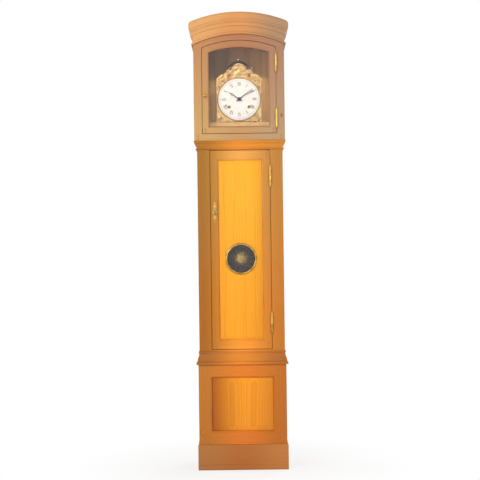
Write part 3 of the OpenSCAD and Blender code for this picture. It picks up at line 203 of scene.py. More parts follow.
@dataclass(frozen=True)
class WaxedPine(Finish):
    """Waxed Scots pine, planed and rubbed.

    Gives the eye broad growth-ring figure, a few small knots, fine fibre streaks, darkening in
    the corners and a soft sheen. The rings are drawn a little coarse so that they show.

    The colour runs from low at the height low_z to top at top_z, partly as painted light, and
    sides tint it with painted shade at the left, the middle and the right. A frame's stiles start
    at half from the middle. A moulding's returns do too, behind its face. The scales are repeats
    in a metre: knots some 0.35 m apart, slow bends 0.2 m by 0.9 m, and fibres 1.1 mm wide and 70
    mm long.
    """

    top: str
    low: str
    # By default the side tint darkens boards 0.2 m or more from the middle: painted shade on the case's
    # sides.
    sides: tuple[str, str, str] = ("DEDEDE", "FFFFFF", "DEDEDE")
    grain: Grain = Grain.UPRIGHT
    half: float = 0.0
    face: float = 0.0
    low_z: float = 0.0
    top_z: float = 2.3
    seed: float = 0.0
    sheen: float = 0.42
    figure: float = 0.55
    knots: float = 1.0
    ring: float = 0.007
    knot_scale: Triple = (3.4, 3.4, 2.3)
    bend_scale: Triple = (5.0, 5.0, 1.1)
    fibre_scale: Triple = (900.0, 900.0, 14.0)
    rail_step: float = 0.31

    def bead(self, half: float, seed: float) -> WaxedPine:
        """Gives the same pine for the bead round a frame's opening, free of knots.

        Args:
            half: where the bead's upright sides start.
            seed: where its figure is taken.

        Returns:
            The bead's finish.
        """
        name = self.name.removesuffix("_frame") + "_bead"
        return replace(self, name=name, half=half, seed=seed, knots=0.0)

    def board_space(self, tree: Tree, spot: Socket) -> tuple[Socket, Socket]:
        """Turns object coordinates so that Z runs along each board's grain.

        Args:
            tree: the material's tree.
            spot: the object coordinates.

        Returns:
            A vector socket, and a value socket that differs from board to board.
        """
        x, y, z = add(tree, "SeparateXYZ", [spot]).node.outputs
        side = add(tree, "Math", [x], operation="SIGN")
        wide = add(tree, "Math", [x], operation="ABSOLUTE")
        across = add(tree, "CombineXYZ", [z, y, x])
        deep = add(tree, "CombineXYZ", [z, x, y])
        if self.grain is Grain.UPRIGHT:
            return spot, side
        if self.grain is Grain.ACROSS:
            return across, side
        if self.grain is Grain.DEEP:
            return deep, side
        if self.grain is Grain.FRAMED:
            stile = add(tree, "Math", [wide, self.half], operation="GREATER_THAN")
            turned_way = add(tree, "Mix", {0: stile, 4: across, 5: spot}, out=1, data_type="VECTOR")
            band = add(tree, "Math", [z, self.rail_step], operation="SNAP")
            return turned_way, add(tree, "Mix", {0: stile, 2: band, 3: side}, data_type="FLOAT")
        run = add(tree, "Math", [self.face, y], operation="SUBTRACT")
        reach = add(tree, "Math", [wide, self.half], operation="SUBTRACT")
        end = add(tree, "Math", [reach, run], operation="GREATER_THAN")
        turned_way = add(tree, "Mix", {0: end, 4: across, 5: deep}, out=1, data_type="VECTOR")
        return turned_way, add(tree, "Math", [end, side], operation="MULTIPLY")

    def knot_field(self, tree: Tree, place: Socket) -> tuple[Socket, Socket, Socket]:
        """Adds knots, which are ovals of up to 23 mm by 34 mm with a darker rim.

        Args:
            tree: the material's tree.
            place: coordinates along the board.

        Returns:
            How far the rings bend, the knot's share, and a value from 0 at its heart to 1 at its rim.
        """
        lump = add(tree, "Mapping", {"Vector": place, "Scale": self.knot_scale})
        cell = add(tree, "TexVoronoi", {"Vector": lump, "Scale": 1.0, "Randomness": 1.0})
        around = add(tree, "MapRange", [cell, 0.02, 0.17, 0.016 * self.knots, 0.0],
                     interpolation_type="SMOOTHERSTEP")
        knot = add(tree, "MapRange", [cell, 0.032, 0.046, self.knots, 0.0])
        return around, knot, add(tree, "MapRange", [cell, 0.02, 0.034])

    def year_rings(self, tree: Tree, space: Socket, board: Socket, slow: Socket, around: Socket) -> Socket:
        """Adds growth rings, which are circles round a pith 0.17 m from the clock's middle plane.

        The pith wanders by up to 40 mm along the board, and the rings bend round the knots.

        Args:
            tree: the material's tree.
            space: coordinates along the board.
            board: a value that differs from board to board.
            slow: coordinates for the slow bends.
            around: how far the rings bend round a knot.

        Returns:
            How much late wood shows.
        """
        bend = add(tree, "TexNoise", {"Vector": slow, "Scale": 1.0, "Detail": 3.0})
        wander = add(tree, "Math", [bend, 0.085, -0.04], operation="MULTIPLY_ADD")
        cut_x, cut_y, _ = add(tree, "SeparateXYZ", [space]).node.outputs
        u = add(tree, "Math", [cut_x, wander], operation="ADD")
        u = add(tree, "Math", [board, -0.05, u], operation="MULTIPLY_ADD")
        u = add(tree, "Math", [u, around], operation="ADD")
        v = add(tree, "Math", [cut_y, 0.17], operation="ADD")
        flat = add(tree, "CombineXYZ", [u, v, 0.0])
        radius = add(tree, "VectorMath", [flat], out="Value", operation="LENGTH")
        years = add(tree, "Math", [radius, 1 / self.ring], operation="MULTIPLY")
        late = add(tree, "ValToRGB", {0: add(tree, "Math", [years], operation="FRACT")})
        stops(late.node.color_ramp,
              [(0.0, "404040"), (0.12, "101010"), (0.55, "383838"), (0.86, "D8D8D8"), (1.0, "404040")])
        return late

    def case_tone(self, tree: Tree, spot: Socket) -> Socket:
        """Adds the wood's colour, which changes up the case and is tinted towards its sides.

        Args:
            tree: the material's tree.
            spot: the object coordinates.

        Returns:
            A colour.
        """
        x, _, z = add(tree, "SeparateXYZ", [spot]).node.outputs
        # The change from low to top is partly the wood's own tone and partly painted light.
        rise = add(tree, "MapRange", [z, self.low_z, self.top_z])
        own = add(tree, "Mix", {0: rise, 6: linear(self.low), 7: linear(self.top)}, **COLOUR)
        # The side tint is painted shade, which darkens and recolours the case towards its left and right.
        painted_side_shade = add(tree, "ValToRGB", {0: add(tree, "MapRange", [x, -0.2, 0.2])})
        painted_side_shade.node.color_ramp.interpolation = "EASE"
        stops(painted_side_shade.node.color_ramp, zip((0.0, 0.5, 1.0), self.sides))
        return add(tree, "VectorMath", [own, painted_side_shade], operation="MULTIPLY")

    def nodes(self, tree: Tree, spot: Socket) -> Socket:
        """Adds knots, rings, fibres, tone, wax and softened edges.

        Args:
            tree: the material's tree.
            spot: the object coordinates.

        Returns:
            The shader's socket.
        """
        space, board = self.board_space(tree, spot)
        apart = add(tree, "Math", [board, 1.37, self.seed], operation="MULTIPLY_ADD")
        shift = add(tree, "CombineXYZ", [apart, apart, apart])
        place = add(tree, "VectorMath", [space, shift], operation="ADD")
        slow = add(tree, "Mapping", {"Vector": place, "Scale": self.bend_scale})
        around, knot, rim = self.knot_field(tree, place)
        late = self.year_rings(tree, space, board, slow, around)
        amount = add(tree, "Math", [late, self.figure], operation="MULTIPLY")
        base = self.case_tone(tree, spot)
        autumn = add(tree, "VectorMath", [base, linear("D0B288")[:3]], operation="MULTIPLY")
        wood = add(tree, "Mix", {0: amount, 6: base, 7: autumn}, **COLOUR)
        # Fibres streak it finely, and broad patches of tone lie along each board.
        fine = add(tree, "Mapping", {"Vector": place, "Scale": self.fibre_scale})
        fibre = add(tree, "TexNoise", {"Vector": fine, "Scale": 1.0, "Detail": 2.0})
        broad = add(tree, "TexNoise", {"Vector": slow, "Scale": 0.55, "Detail": 1.0})
        streak = add(tree, "MapRange", [fibre, 0.35, 0.7, 1.03, 0.93])
        tone = add(tree, "MapRange", [broad, 0.3, 0.7, 0.93, 1.05])
        both = add(tree, "Math", [streak, tone], operation="MULTIPLY")
        wood = add(tree, "VectorMath", [wood, both], operation="MULTIPLY")
        brown = add(tree, "Mix", {0: rim, 6: linear("9A5A28"), 7: linear("6A3A18")}, **COLOUR)
        wood = add(tree, "Mix", {0: knot, 6: wood, 7: brown}, **COLOUR)
        # The corners, within about 12 mm, are darkened by ambient occlusion.
        corner = add(tree, "AmbientOcclusion", {"Distance": 0.012}, out="AO", samples=6)
        corner_darkening = add(tree, "MapRange", [corner, 0.25, 0.85, 0.45, 0.0])
        wood = add(tree, "Mix", {0: corner_darkening, 6: wood, 7: linear("5A3414")}, **COLOUR)
        rough = add(tree, "MapRange", [fibre, 0.3, 0.7, self.sheen - 0.06, self.sheen + 0.1])
        # Late wood stands a little proud, and the arrises are rubbed to a radius of about 1 mm.
        relief = add(tree, "Math", [amount, 0.35, fibre], operation="MULTIPLY_ADD")
        edge = add(tree, "Bevel", {"Radius": 0.0012}, samples=4)
        bump = add(tree, "Bump", {"Height": relief, "Distance": 0.0002, "Strength": 0.35, "Normal": edge})
        return add(tree, "BsdfPrincipled", {"Base Color": wood, "Roughness": rough, "Normal": bump,
                                            "Specular IOR Level": 0.25, "Coat Weight": 0.05,
                                            "Coat Roughness": 0.3})


@dataclass(frozen=True)
class Metal(Finish):
    """A turned, cast or rolled metal.

    Gives the eye the metal's colour, cloudy tarnish some 20 mm wide, fine marks from the tool
    or the polishing cloth, and a darker film in the corners. Cast metal has a grit of 0.7 mm.
    """

    bright: str
    dull: str
    rough: float = 0.25
    streak: Triple = (60.0, 60.0, 900.0)
    mark: float = 0.25
    cast: float = 0.0
    metallic: float = 1.0

    def nodes(self, tree: Tree, spot: Socket) -> Socket:
        """Adds tarnish, scratches, grit and softened edges.

        Args:
            tree: the material's tree.
            spot: the object coordinates.

        Returns:
            The shader's socket.
        """
        cloud = add(tree, "TexNoise", {"Vector": spot, "Scale": 45.0, "Detail": 4.0})
        lines = add(tree, "Mapping", {"Vector": spot, "Scale": self.streak})
        scratch = add(tree, "TexNoise", {"Vector": lines, "Scale": 1.0, "Detail": 3.0})
        grit = add(tree, "TexNoise", {"Vector": spot, "Scale": 1400.0, "Detail": 2.0})
        film = add(tree, "MapRange", [cloud, 0.38, 0.68, 0.0, 0.75])
        corner = add(tree, "AmbientOcclusion", {"Distance": 0.004}, out="AO", samples=4)
        shade = add(tree, "MapRange", [corner, 0.2, 0.8, 0.7, 0.0])
        most = add(tree, "Math", [film, shade], operation="MAXIMUM")
        tint = add(tree, "Mix", {0: most, 6: linear(self.bright), 7: linear(self.dull)}, **COLOUR)
        gloss = add(tree, "MapRange", [scratch, 0.3, 0.7, self.rough * 0.75, self.rough * 1.3])
        rough = add(tree, "Math", [film, 0.1, gloss], operation="MULTIPLY_ADD")
        both = add(tree, "Mix", {0: self.cast, 2: scratch, 3: grit}, data_type="FLOAT")
        edge = add(tree, "Bevel", {"Radius": 0.0004}, samples=4)
        bump = add(tree, "Bump", {"Height": both, "Distance": 0.0001 + 0.0006 * self.cast,
                                  "Strength": self.mark, "Normal": edge})
        return add(tree, "BsdfPrincipled", {"Base Color": tint, "Roughness": rough, "Normal": bump,
                                            "Metallic": self.metallic})


@dataclass(frozen=True)
class Enamel(Finish):
    """Vitreous enamel or enamel paint.

    Gives the eye an even, wet gloss, with age in faint clouds 35 mm wide and pinholes 4 mm apart.
    """

    colour: str
    aged: str
    rough: float

    def nodes(self, tree: Tree, spot: Socket) -> Socket:
        """Adds age, pinholes and a clear coat.

        Args:
            tree: the material's tree.
            spot: the object coordinates.

        Returns:
            The shader's socket.
        """
        cloud = add(tree, "TexNoise", {"Vector": spot, "Scale": 28.0, "Detail": 5.0})
        pits = add(tree, "TexVoronoi", {"Vector": spot, "Scale": 260.0})
        age = add(tree, "MapRange", [cloud, 0.42, 0.72, 0.0, 0.6])
        tint = add(tree, "Mix", {0: age, 6: linear(self.colour), 7: linear(self.aged)}, **COLOUR)
        rough = add(tree, "MapRange", [cloud, 0.3, 0.7, self.rough, self.rough + 0.05])
        dent = add(tree, "MapRange", [pits, 0.0, 0.06])
        bump = add(tree, "Bump", {"Height": dent, "Distance": 0.00005, "Strength": 0.3})
        return add(tree, "BsdfPrincipled", {"Base Color": tint, "Roughness": rough, "Normal": bump,
                                            "Coat Weight": 0.4})


@dataclass(frozen=True)
class SheetGlass(Finish):
    """Drawn soda-lime sheet glass, 3 mm thick.

    Gives the eye a clear pane with a faint grey-green cast, a slow ripple 120 mm long from the
    drawing, and a trace of dust in its gloss. Lamps light what is behind it.
    """

    tint: str
    ior: float = 1.5

    def nodes(self, tree: Tree, spot: Socket) -> Socket:
        """Adds the ripple and the dust, and lets the lamps' light through.

        Args:
            tree: the material's tree.
            spot: the object coordinates.

        Returns:
            The shader's socket.
        """
        wave = add(tree, "TexNoise", {"Vector": spot, "Scale": 8.0, "Detail": 0.0})
        dust = add(tree, "TexNoise", {"Vector": spot, "Scale": 300.0, "Detail": 3.0})
        bump = add(tree, "Bump", {"Height": wave, "Distance": 0.001, "Strength": 0.12})
        rough = add(tree, "MapRange", [dust, 0.4, 0.8, 0.0, 0.03])
        pane = add(tree, "BsdfPrincipled", {"Base Color": linear(self.tint), "Transmission Weight": 1.0,
                                            "IOR": self.ior, "Roughness": rough, "Normal": bump})
        lit = add(tree, "LightPath", out="Is Shadow Ray")
        clear = add(tree, "BsdfTransparent", [linear(self.tint)])
        return add(tree, "MixShader", [lit, pane, clear])


@dataclass(frozen=True)
class GutLine(Finish):
    """Twisted gut or flax line.

    Gives the eye straw-coloured strands that wind round the line in three starts, once in 7 mm.
    """

    lay: float = 0.007
    strands: int = 3

    def nodes(self, tree: Tree, spot: Socket) -> Socket:
        """Adds the strands, from the piece's UV: along the line and round it.

        Args:
            tree: the material's tree.
            spot: the object coordinates, which this finish has no need of.

        Returns:
            The shader's socket.
        """
        along, round_it, _ = add(tree, "SeparateXYZ", [add(tree, "UVMap", uv_map="line")]).node.outputs
        twist = add(tree, "Math", [along, 1 / self.lay, round_it], operation="MULTIPLY_ADD")
        phase = add(tree, "Math", [twist, self.strands * FULL_TURN], operation="MULTIPLY")
        height = add(tree, "MapRange", {0: add(tree, "Math", [phase], operation="SINE"), 1: -1.0, 2: 1.0})
        # The grooves between strands are darkened: painted shade.
        tint = add(tree, "Mix", {0: height, 6: linear("8C7448"), 7: linear("D9C590")}, **COLOUR)
        bump = add(tree, "Bump", {"Height": height, "Distance": 0.0004, "Strength": 0.8})
        return add(tree, "BsdfPrincipled", {"Base Color": tint, "Normal": bump, "Roughness": 0.55})


@dataclass(frozen=True)
class PaintedFloor(Finish):
    """Pale matt floor paint.

    Gives the eye plain white, seen itself, in mirrors and through glass. Only within a metre of
    the clock does it show the shade that falls on it, most of all nearer than near.
    """

    colour: str = "F4F4F2"
    near: float = 0.25
    far: float = 1.0
    least: float = 0.72

    def nodes(self, tree: Tree, spot: Socket) -> Socket:
        """Adds the matt paint and the white that the camera sees.

        Args:
            tree: the material's tree.
            spot: the object coordinates.

        Returns:
            The shader's socket.
        """
        seen = in_sight(tree)
        away = add(tree, "VectorMath", [spot], out="Value", operation="LENGTH")
        plain = add(tree, "MapRange", [away, self.near, self.far, self.least, 1.0],
                    interpolation_type="SMOOTHSTEP")
        share = add(tree, "Math", [seen, plain], operation="MULTIPLY")
        paint = add(tree, "BsdfPrincipled", {"Base Color": linear(self.colour), "Roughness": 0.8})
        white = add(tree, "Emission", {"Color": WHITE, "Strength": 1.0})
        return add(tree, "MixShader", [share, paint, white])


PLAIN_SIDES = ("FFFFFF", "FFFFFF", "FFFFFF")
# Pink-brown at the arch, and a paler sand colour towards the hood's foot.
HOOD_PINE = WaxedPine("waxed_pine_hood", "BA846C", "C9A27E", ("FFFFD8", "F6EED2", "E8F0EE"),
                      Grain.FRAMED, half=0.157, low_z=1.65, top_z=2.2, seed=7.7)
# Warm honey, more orange lower down, with painted shade that turns it olive-brown at the left and greyer at
# the right.
TRUNK_PINE = WaxedPine("waxed_pine_trunk", "F1AA52", "FC9D39", ("AEAC8C", "FFFFFF", "C8C4BE"),
                       Grain.FRAMED, half=0.1525, low_z=0.8, top_z=1.45, seed=4.4)
# As the trunk, but from other boards, so that its rings don't run on into the door's frame.
DOOR_PINE = replace(TRUNK_PINE, name="waxed_pine_door_frame", low="FC9E35", half=0.116, seed=1.3)
# A deeper orange than the trunk, with painted shade that cools it a little at both sides.
BASE_PINE = WaxedPine("waxed_pine_base_frame", "E27F27", "DD7A26", ("D6EEFF", "FFFFFF", "DCE4E4"),
                      Grain.FRAMED, half=0.161, low_z=0.13, top_z=0.53, seed=2.9)
# Orange-brown, its grain along the moulding and round its mitred returns,
# with painted shade darkening its ends.
WAIST_PINE = WaxedPine("waxed_pine_waist", "E68C2D", "E68C2D", ("BCC0F0", "FFFFFF", "C8C8F4"),
                       Grain.MITRED, half=0.215, face=-0.108, seed=0.7)
# Planed and left bare: a plain tan with hardly a sheen.
CUT_PINE = WaxedPine("bare_planed_pine", "CD9C60", "CD9C60", PLAIN_SIDES, Grain.ACROSS,
                     seed=2.4, sheen=0.68, figure=0.5)
FINISHES: dict[str, Finish] = {finish.name: finish for finish in (
    HOOD_PINE, HOOD_PINE.bead(0.1507, 7.2), TRUNK_PINE, DOOR_PINE, DOOR_PINE.bead(0.1087, 1.4),
    BASE_PINE, BASE_PINE.bead(0.1537, 2.8), WAIST_PINE, CUT_PINE,
    # A shade brighter than the waist moulding, with painted shade at its ends, less dark at the right.
    replace(WAIST_PINE, name="waxed_pine_throat", top="EA942E", low="EA942E",
            sides=("C2C8E8", "FFFFFF", "E6EEFF"), seed=2.2),
    # A duller brown than the mouldings above it, with a little painted shade at the floor.
    replace(WAIST_PINE, name="waxed_pine_plinth", top="C17C3E", low="B8753B",
            sides=("EEF6FF", "F0E2D6", "FFFFFF"), top_z=0.128, seed=1.9),
    # A pale peach, with painted shade that cools it towards the right.
    WaxedPine("waxed_pine_cornice", "E2A86C", "E2A86C", ("FFFFFF", "F6E8DC", "C8D6FF"), Grain.MITRED,
              half=0.228, face=-0.12, low_z=2.14, seed=3.1),
    # The hood's sides and roof are a plain light brown, the sides dimmed by the default painted side shade.
    WaxedPine("waxed_pine_hood_side", "CE9C68", "CE9C60", seed=9.2),
    WaxedPine("waxed_pine_roof", "CD9354", "CD9354", PLAIN_SIDES, Grain.DEEP, seed=5.0),
    # Brown gold, darker than the bright front, and dimmed more by the default painted side shade.
    WaxedPine("waxed_pine_trunk_side", "CC903D", "D08532", low_z=0.8, top_z=1.45, seed=6.3),
    # Bright gold, drawn as two boards glued in the middle, with a quieter figure and painted shade towards
    # its edges.
    WaxedPine("waxed_pine_door_panel", "F9B230", "FAA426", ("E8E0D4", "FFFFFF", "E8E0D4"),
              low_z=0.75, top_z=1.35, seed=8.6, figure=0.4),
    # Strong amber, with painted shade browning it at the left.
    WaxedPine("waxed_pine_base_panel", "F59B22", "EF9422", ("A08068", "FFFFFF", "DEDAE8"),
              low_z=0.18, top_z=0.47, seed=5.9, figure=0.45),
    # A redder brown than the trunk's sides, and dimmed alike by the default painted side shade.
    WaxedPine("waxed_pine_base_side", "CC823C", "C87E3A", seed=3.8),
    # Sawn and never waxed: matt, with painted light above, and painted shade that makes it browner below and
    # greyer at the left.
    WaxedPine("bare_sawn_pine", "FFBE6A", "C3955B", ("B0A8A0", "F4F0EC", "FFFFFF"),
              low_z=1.2, top_z=2.0, seed=4.1, sheen=0.7, figure=0.5),
    # Small oak pegs, darker than the trunk's pine, with hardly a figure and no knots.
    WaxedPine("oak_pegs", "BA7C33", "BA7C33", PLAIN_SIDES, seed=0.3, figure=0.3, knots=0.0),
    # Rolled sheet under old lacquer: a pale gold with faint level lines.
    Metal("lacquered_rolled_brass", "E2BD6A", "9C7434", 0.24),
    # Cast: a deeper gold, with some of the mould's grit in its skin.
    Metal("cast_brass_fittings", "DDB35E", "8A6228", 0.3, cast=0.4),
    # Spun and rubbed bright, with fine marks of the cloth across it.
    Metal("spun_brass_bob", "E4BE68", "8F6A30", 0.22, (30.0, 400.0, 400.0)),
    # Stamped and gilt: a soft satin gold, darker in its hollows.
    Metal("stamped_gilt_brass", "DAB276", "946C3A", 0.32, cast=0.3),
    # A paler bronze with close level rings from the lathe.
    Metal("turned_bell_metal", "D6B682", "8C6F45", 0.22, (40.0, 40.0, 1200.0)),
    # Grey steel, its polish gone a little dull.
    Metal("polished_steel", "9A9DA2", "5A5C5E", 0.28),
    # Heated to a blue-black that lights up blue where it catches a lamp.
    Metal("blued_steel_hands", "1B2A4A", "0F1626", 0.3, mark=0.1),
    # Cast and blacked: a dark grey, with a dull glint on its grit.
    Metal("blacked_cast_iron", "4A4744", "2A2826", 0.55, cast=1.0, metallic=0.6),
    # Fired enamel: a warm white with a wet gloss.
    Enamel("white_vitreous_enamel", "DFD5CF", "D4C8BD", 0.11),
    # The figures' paint: black, with a softer gloss than the dial's.
    Enamel("black_enamel_paint", "15130F", "221F1A", 0.3),
    # The hood's pane is almost clear, and the door's small window a shade greyer.
    SheetGlass("drawn_sheet_glass", "F9FAF9"),
    SheetGlass("drawn_window_glass", "F0F2F0"),
    # Straw-coloured strands, with painted shade where they meet.
    GutLine("twisted_gut_line"),
)}

# The nodes that each finish dresses.
DRESSED: dict[str, str] = {
    "waxed_pine_plinth": "plinth",
    "waxed_pine_base_frame": "base_frame",
    "waxed_pine_base_panel": "base_panel",
    "waxed_pine_base_side": "base_sides",
    "waxed_pine_waist": "waist_moulding",
    "waxed_pine_trunk": "trunk_frame",
    "waxed_pine_trunk_side": "trunk_sides",
    "waxed_pine_door_frame": "trunk_door_frame",
    "waxed_pine_door_panel": "trunk_door_panel",
    "waxed_pine_throat": "throat_moulding",
    "waxed_pine_hood": "hood_frame hood_door_frame",
    "waxed_pine_hood_side": "hood_sides",
    "waxed_pine_roof": "hood_roof",
    "waxed_pine_cornice": "cornice",
    "bare_planed_pine": "bottom_board seat_board",
    "bare_sawn_pine": "back_boards",
    "drawn_window_glass": "window_glass",
    "drawn_sheet_glass": "hood_door_glass",
    "white_vitreous_enamel": "dial",
    "stamped_gilt_brass": "dial_surround",
    "turned_bell_metal": "bell",
    "blued_steel_hands": "minute_hand hour_hand",
    "spun_brass_bob": "pendulum_bob",
    "blacked_cast_iron": "going_weight strike_weight",
    "twisted_gut_line": "going_line strike_line",
    "polished_steel": "trunk_lock_case trunk_key bell_stand anchor pendulum_rod hammer",
    "cast_brass_fittings": "trunk_hinge_pins trunk_hinge_knuckles window_bezel trunk_escutcheon "
                           "hood_hinge_pins hood_hinge_knuckles hood_door_catch pendulum_cock",
    "lacquered_rolled_brass": "trunk_lock_bolt front_plate back_plate centre_wheel cannon_pinion hour_wheel "
                              "minute_wheel great_wheel going_barrel third_wheel escape_wheel fly "
                              "strike_great_wheel strike_barrel pin_wheel warning_wheel",
}


@dataclass
class Workshop:
    """Keeps the materials made so far, and turns surfaces into pieces that ride on their bodies."""

    made: dict[str, bpy.types.Material] = field(default_factory=dict)

    def material(self, finish: str) -> bpy.types.Material:
        """Gives a finish's material, made the first time it is asked for.

        Args:
            finish: the finish's name.

        Returns:
            Its material.
        """
        if finish not in self.made:
            self.made[finish] = FINISHES[finish].build()
        return self.made[finish]

    def dress(self, nodes: dict[str, bpy.types.Object]) -> None:
        """Gives each carried-over node its finish.

        Args:
            nodes: node name to object.
        """
        finish_of = {name: finish for finish, names in DRESSED.items() for name in names.split()}
        for name, obj in nodes.items():
            material = self.material(finish_of[name])
            if obj.material_slots:
                for place in obj.material_slots:
                    place.material = material
            else:
                obj.data.materials.append(material)

    def piece(self, name: str, body: str, finish: str, slot: str, surface: Surface,
              smooth: bool = True) -> bpy.types.Object:
        """Makes one piece from a surface.

        Args:
            name: the piece's name.
            body: the body it rides on, or an empty name for a piece that rides on none.
            finish: its finish.
            slot: the name of a material slot, which is not used.
            surface: its points in metres and its faces.
            smooth: whether its shading is smooth.

        Returns:
            The new object.
        """
        verts, faces = surface
        mesh = bpy.data.meshes.new(name)
        mesh.from_pydata(verts.tolist(), [], [face for rows in faces for face in rows.tolist()])
        mesh.update()
        if smooth:
            mesh.shade_smooth()
        else:
            mesh.shade_flat()
        mesh.materials.append(self.material(finish))
        obj = bpy.data.objects.new(name, mesh)
        bpy.context.scene.collection.objects.link(obj)
        if body:
            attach(obj, body)
        LOG.info("made %s with %d faces", name, len(mesh.polygons))
        return obj


# Surfaces


def angles(count: int) -> Array:
    """Gives equal steps round a full turn.

    Args:
        count: how many.

    Returns:
        Angles from 0, in radians, without the last.
    """
    return np.linspace(0, FULL_TURN, count, endpoint=False)


def circle(count: int) -> Array:
    """Gives a circle of radius 1 as a section: (cos a, sin a) for each angle a.

    Args:
        count: its points.

    Returns:
        Pairs, one for each point.
    """
    a = angles(count)
    return np.stack([np.cos(a), np.sin(a)], axis=1)


def grid_faces(rows: int, columns: int, wrap: bool = True) -> Array:
    """Joins a grid's points, row after row, by quads.

    Args:
        rows: rows of points.
        columns: points in a row.
        wrap: whether each row closes on itself.

    Returns:
        Rows of four point numbers.
    """
    last = columns if wrap else columns - 1
    i, j = np.meshgrid(np.arange(rows - 1), np.arange(last), indexing="ij")
    after = (j + 1) % columns
    quads = [i * columns + j, i * columns + after, (i + 1) * columns + after, (i + 1) * columns + j]
    return np.stack([q.ravel() for q in quads], axis=1)


def outward(verts: Array, faces: list[Array]) -> Surface:
    """Turns all faces if their signed volume shows that they point inwards.

    The volume is the sum of a . (b x c) over triangles a, b, c that fan out from a face's first
    corner.

    Args:
        verts: the points.
        faces: arrays of faces.

    Returns:
        The points and the faces, turned where they need it.
    """
    volume = 0.0
    for rows in faces:
        corner = verts[rows]
        for k in range(1, rows.shape[1] - 1):
            volume += np.einsum("ij,ij->i", corner[:, 0], np.cross(corner[:, k], corner[:, k + 1])).sum()
    return verts, faces if volume > 0 else [rows[:, ::-1] for rows in faces]


def skin(verts: Array, around: int, closed: bool = False) -> Surface:
    """Covers rings of points, one after the other, with quads.

    Args:
        verts: the rings' points, N by 3.
        around: points in each ring.
        closed: whether the last ring joins the first, where otherwise both ends get a face.

    Returns:
        Points and faces of a closed surface.
    """
    rings = len(verts) // around
    if closed:
        return outward(verts, [grid_faces(rings + 1, around) % len(verts)])
    end = np.arange(around)[None]
    return outward(verts, [grid_faces(rings, around), end[:, ::-1], end + len(verts) - around])


def join(parts: Iterable[Surface]) -> Surface:
    """Joins several surfaces into one.

    Args:
        parts: the surfaces.

    Returns:
        All points and all faces.
    """
    points: list[Array] = []
    faces: list[Array] = []
    count = 0
    for verts, part_faces in parts:
        points.append(verts)
        faces += [rows + count for rows in part_faces]
        count += len(verts)
    return np.concatenate(points), faces


def sweep(path: Array, across: Array | Triple, up: Array | Triple, section: Array,
          closed: bool = False) -> Surface:
    """Carries a closed section along a path.

    A point is path + across * s + up * t, for each (s, t) of the section.

    Args:
        path: the path's points, N by 3.
        across: unit vectors for s at each point, or one for all.
        up: unit vectors for t at each point, or one for all.
        section: M by 2 pairs, or N by M by 2 where it changes along the path.
        closed: whether the path is a loop.

    Returns:
        Points and faces of a closed surface.
    """
    shape = section if section.ndim == 3 else np.broadcast_to(section, (len(path), *section.shape))
    across = np.broadcast_to(across, path.shape)
    up = np.broadcast_to(up, path.shape)
    verts = path[:, None] + across[:, None] * shape[..., :1] + up[:, None] * shape[..., 1:]
    return skin(verts.reshape(-1, 3), shape.shape[1], closed)


def turned(profile: Array, centre: Sequence[float], axis: Triple = FRONT, steps: int = 64,
           ripple: Callable[[Array], Array] = np.ones_like) -> Surface:
    """Turns a profile of (radius, height) pairs round an axis.

    A point is centre + radius * (cos a * e1 + sin a * e2) + height * axis, where e1 and e2 are
    square to the axis.

    Args:
        profile: from the axis out and back to it, or a loop clear of the axis.
        centre: the axis's foot.
        axis: the axis's direction.
        steps: points round the axis.
        ripple: a factor on the radius for each angle.

    Returns:
        Points and faces of a closed surface.
    """
    w, foot = np.array(axis), np.array(centre)
    e1 = np.cross(w, (0.0, 0.0, 1.0) if w[2] == 0 else (1.0, 0.0, 0.0))
    e2 = np.cross(w, e1)
    a = angles(steps)
    ring = np.cos(a)[:, None] * e1 + np.sin(a)[:, None] * e2
    on_axis = profile[0, 0] == 0
    body = profile[1:-1] if on_axis else profile
    verts = body[:, :1, None] * ripple(a)[None, :, None] * ring + body[:, 1:, None] * w + foot
    verts = verts.reshape(-1, 3)
    if not on_axis:
        return skin(verts, steps, closed=True)
    count, j = len(verts), np.arange(steps)
    after, last = (j + 1) % steps, count - steps
    near = np.stack([j, np.full(steps, count), after], axis=1)
    far = np.stack([last + after, np.full(steps, count + 1), last + j], axis=1)
    tips = foot + profile[[0, -1], 1:] * w
    return outward(np.vstack([verts, tips]), [grid_faces(len(body), steps), near, far])


@dataclass
class Fitting:
    """A group of small pieces that the workshop makes, placed by the nodes that carry them."""

    shop: Workshop

    def build(self) -> None:
        """Makes the pieces; each kind of fitting has its own."""
        raise NotImplementedError


# Case fittings


@dataclass(frozen=True)
class PegRow:
    """Where a frame's pegs stand: inset from its edges, above its foot and below its top."""

    name: str
    body: str
    node: str
    inset: float
    above: tuple[float, ...]
    below: tuple[float, ...] = ()


@dataclass
class Pegs(Fitting):
    """Oak pegs that pin the mortise joints of the frames, 8 mm across and barely proud."""

    radius: float = 0.004
    proud: float = 0.0006
    sunk: float = 0.002
    rows: tuple[PegRow, ...] = (
        PegRow("trunk_pegs", "case", "trunk_frame", 0.031, (0.037, 0.05), (0.033, 0.019)),
        PegRow("base_pegs", "case", "base_frame", 0.03, (0.018, 0.042), (0.042, 0.026)),
        PegRow("trunk_door_pegs", "trunk_door", "trunk_door_frame", 0.017, (0.013, 0.029), (0.029, 0.013)),
        PegRow("hood_door_pegs", "hood_door", "hood_door_frame", 0.014, (0.008, 0.02)),
        PegRow("hood_pegs", "hood", "hood_frame", 0.02, (0.01, 0.024)),
    )

    def build(self) -> None:
        """Makes each row's pegs on both sides, with slightly rounded ends."""
        r, h = self.radius, self.proud
        profile = np.array([[0, -self.sunk], [r, -self.sunk], [r, h * 0.6], [r * 0.85, h], [0, h]])
        for row in self.rows:
            low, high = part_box(row.node)
            heights = [low.z + up for up in row.above] + [high.z - down for down in row.below]
            pegs = [turned(profile, (side * (high.x - row.inset), low.y, z), steps=20)
                    for z in heights for side in (-1, 1)]
            self.shop.piece(row.name, row.body, "oak_pegs", "pine", join(pegs), smooth=False)


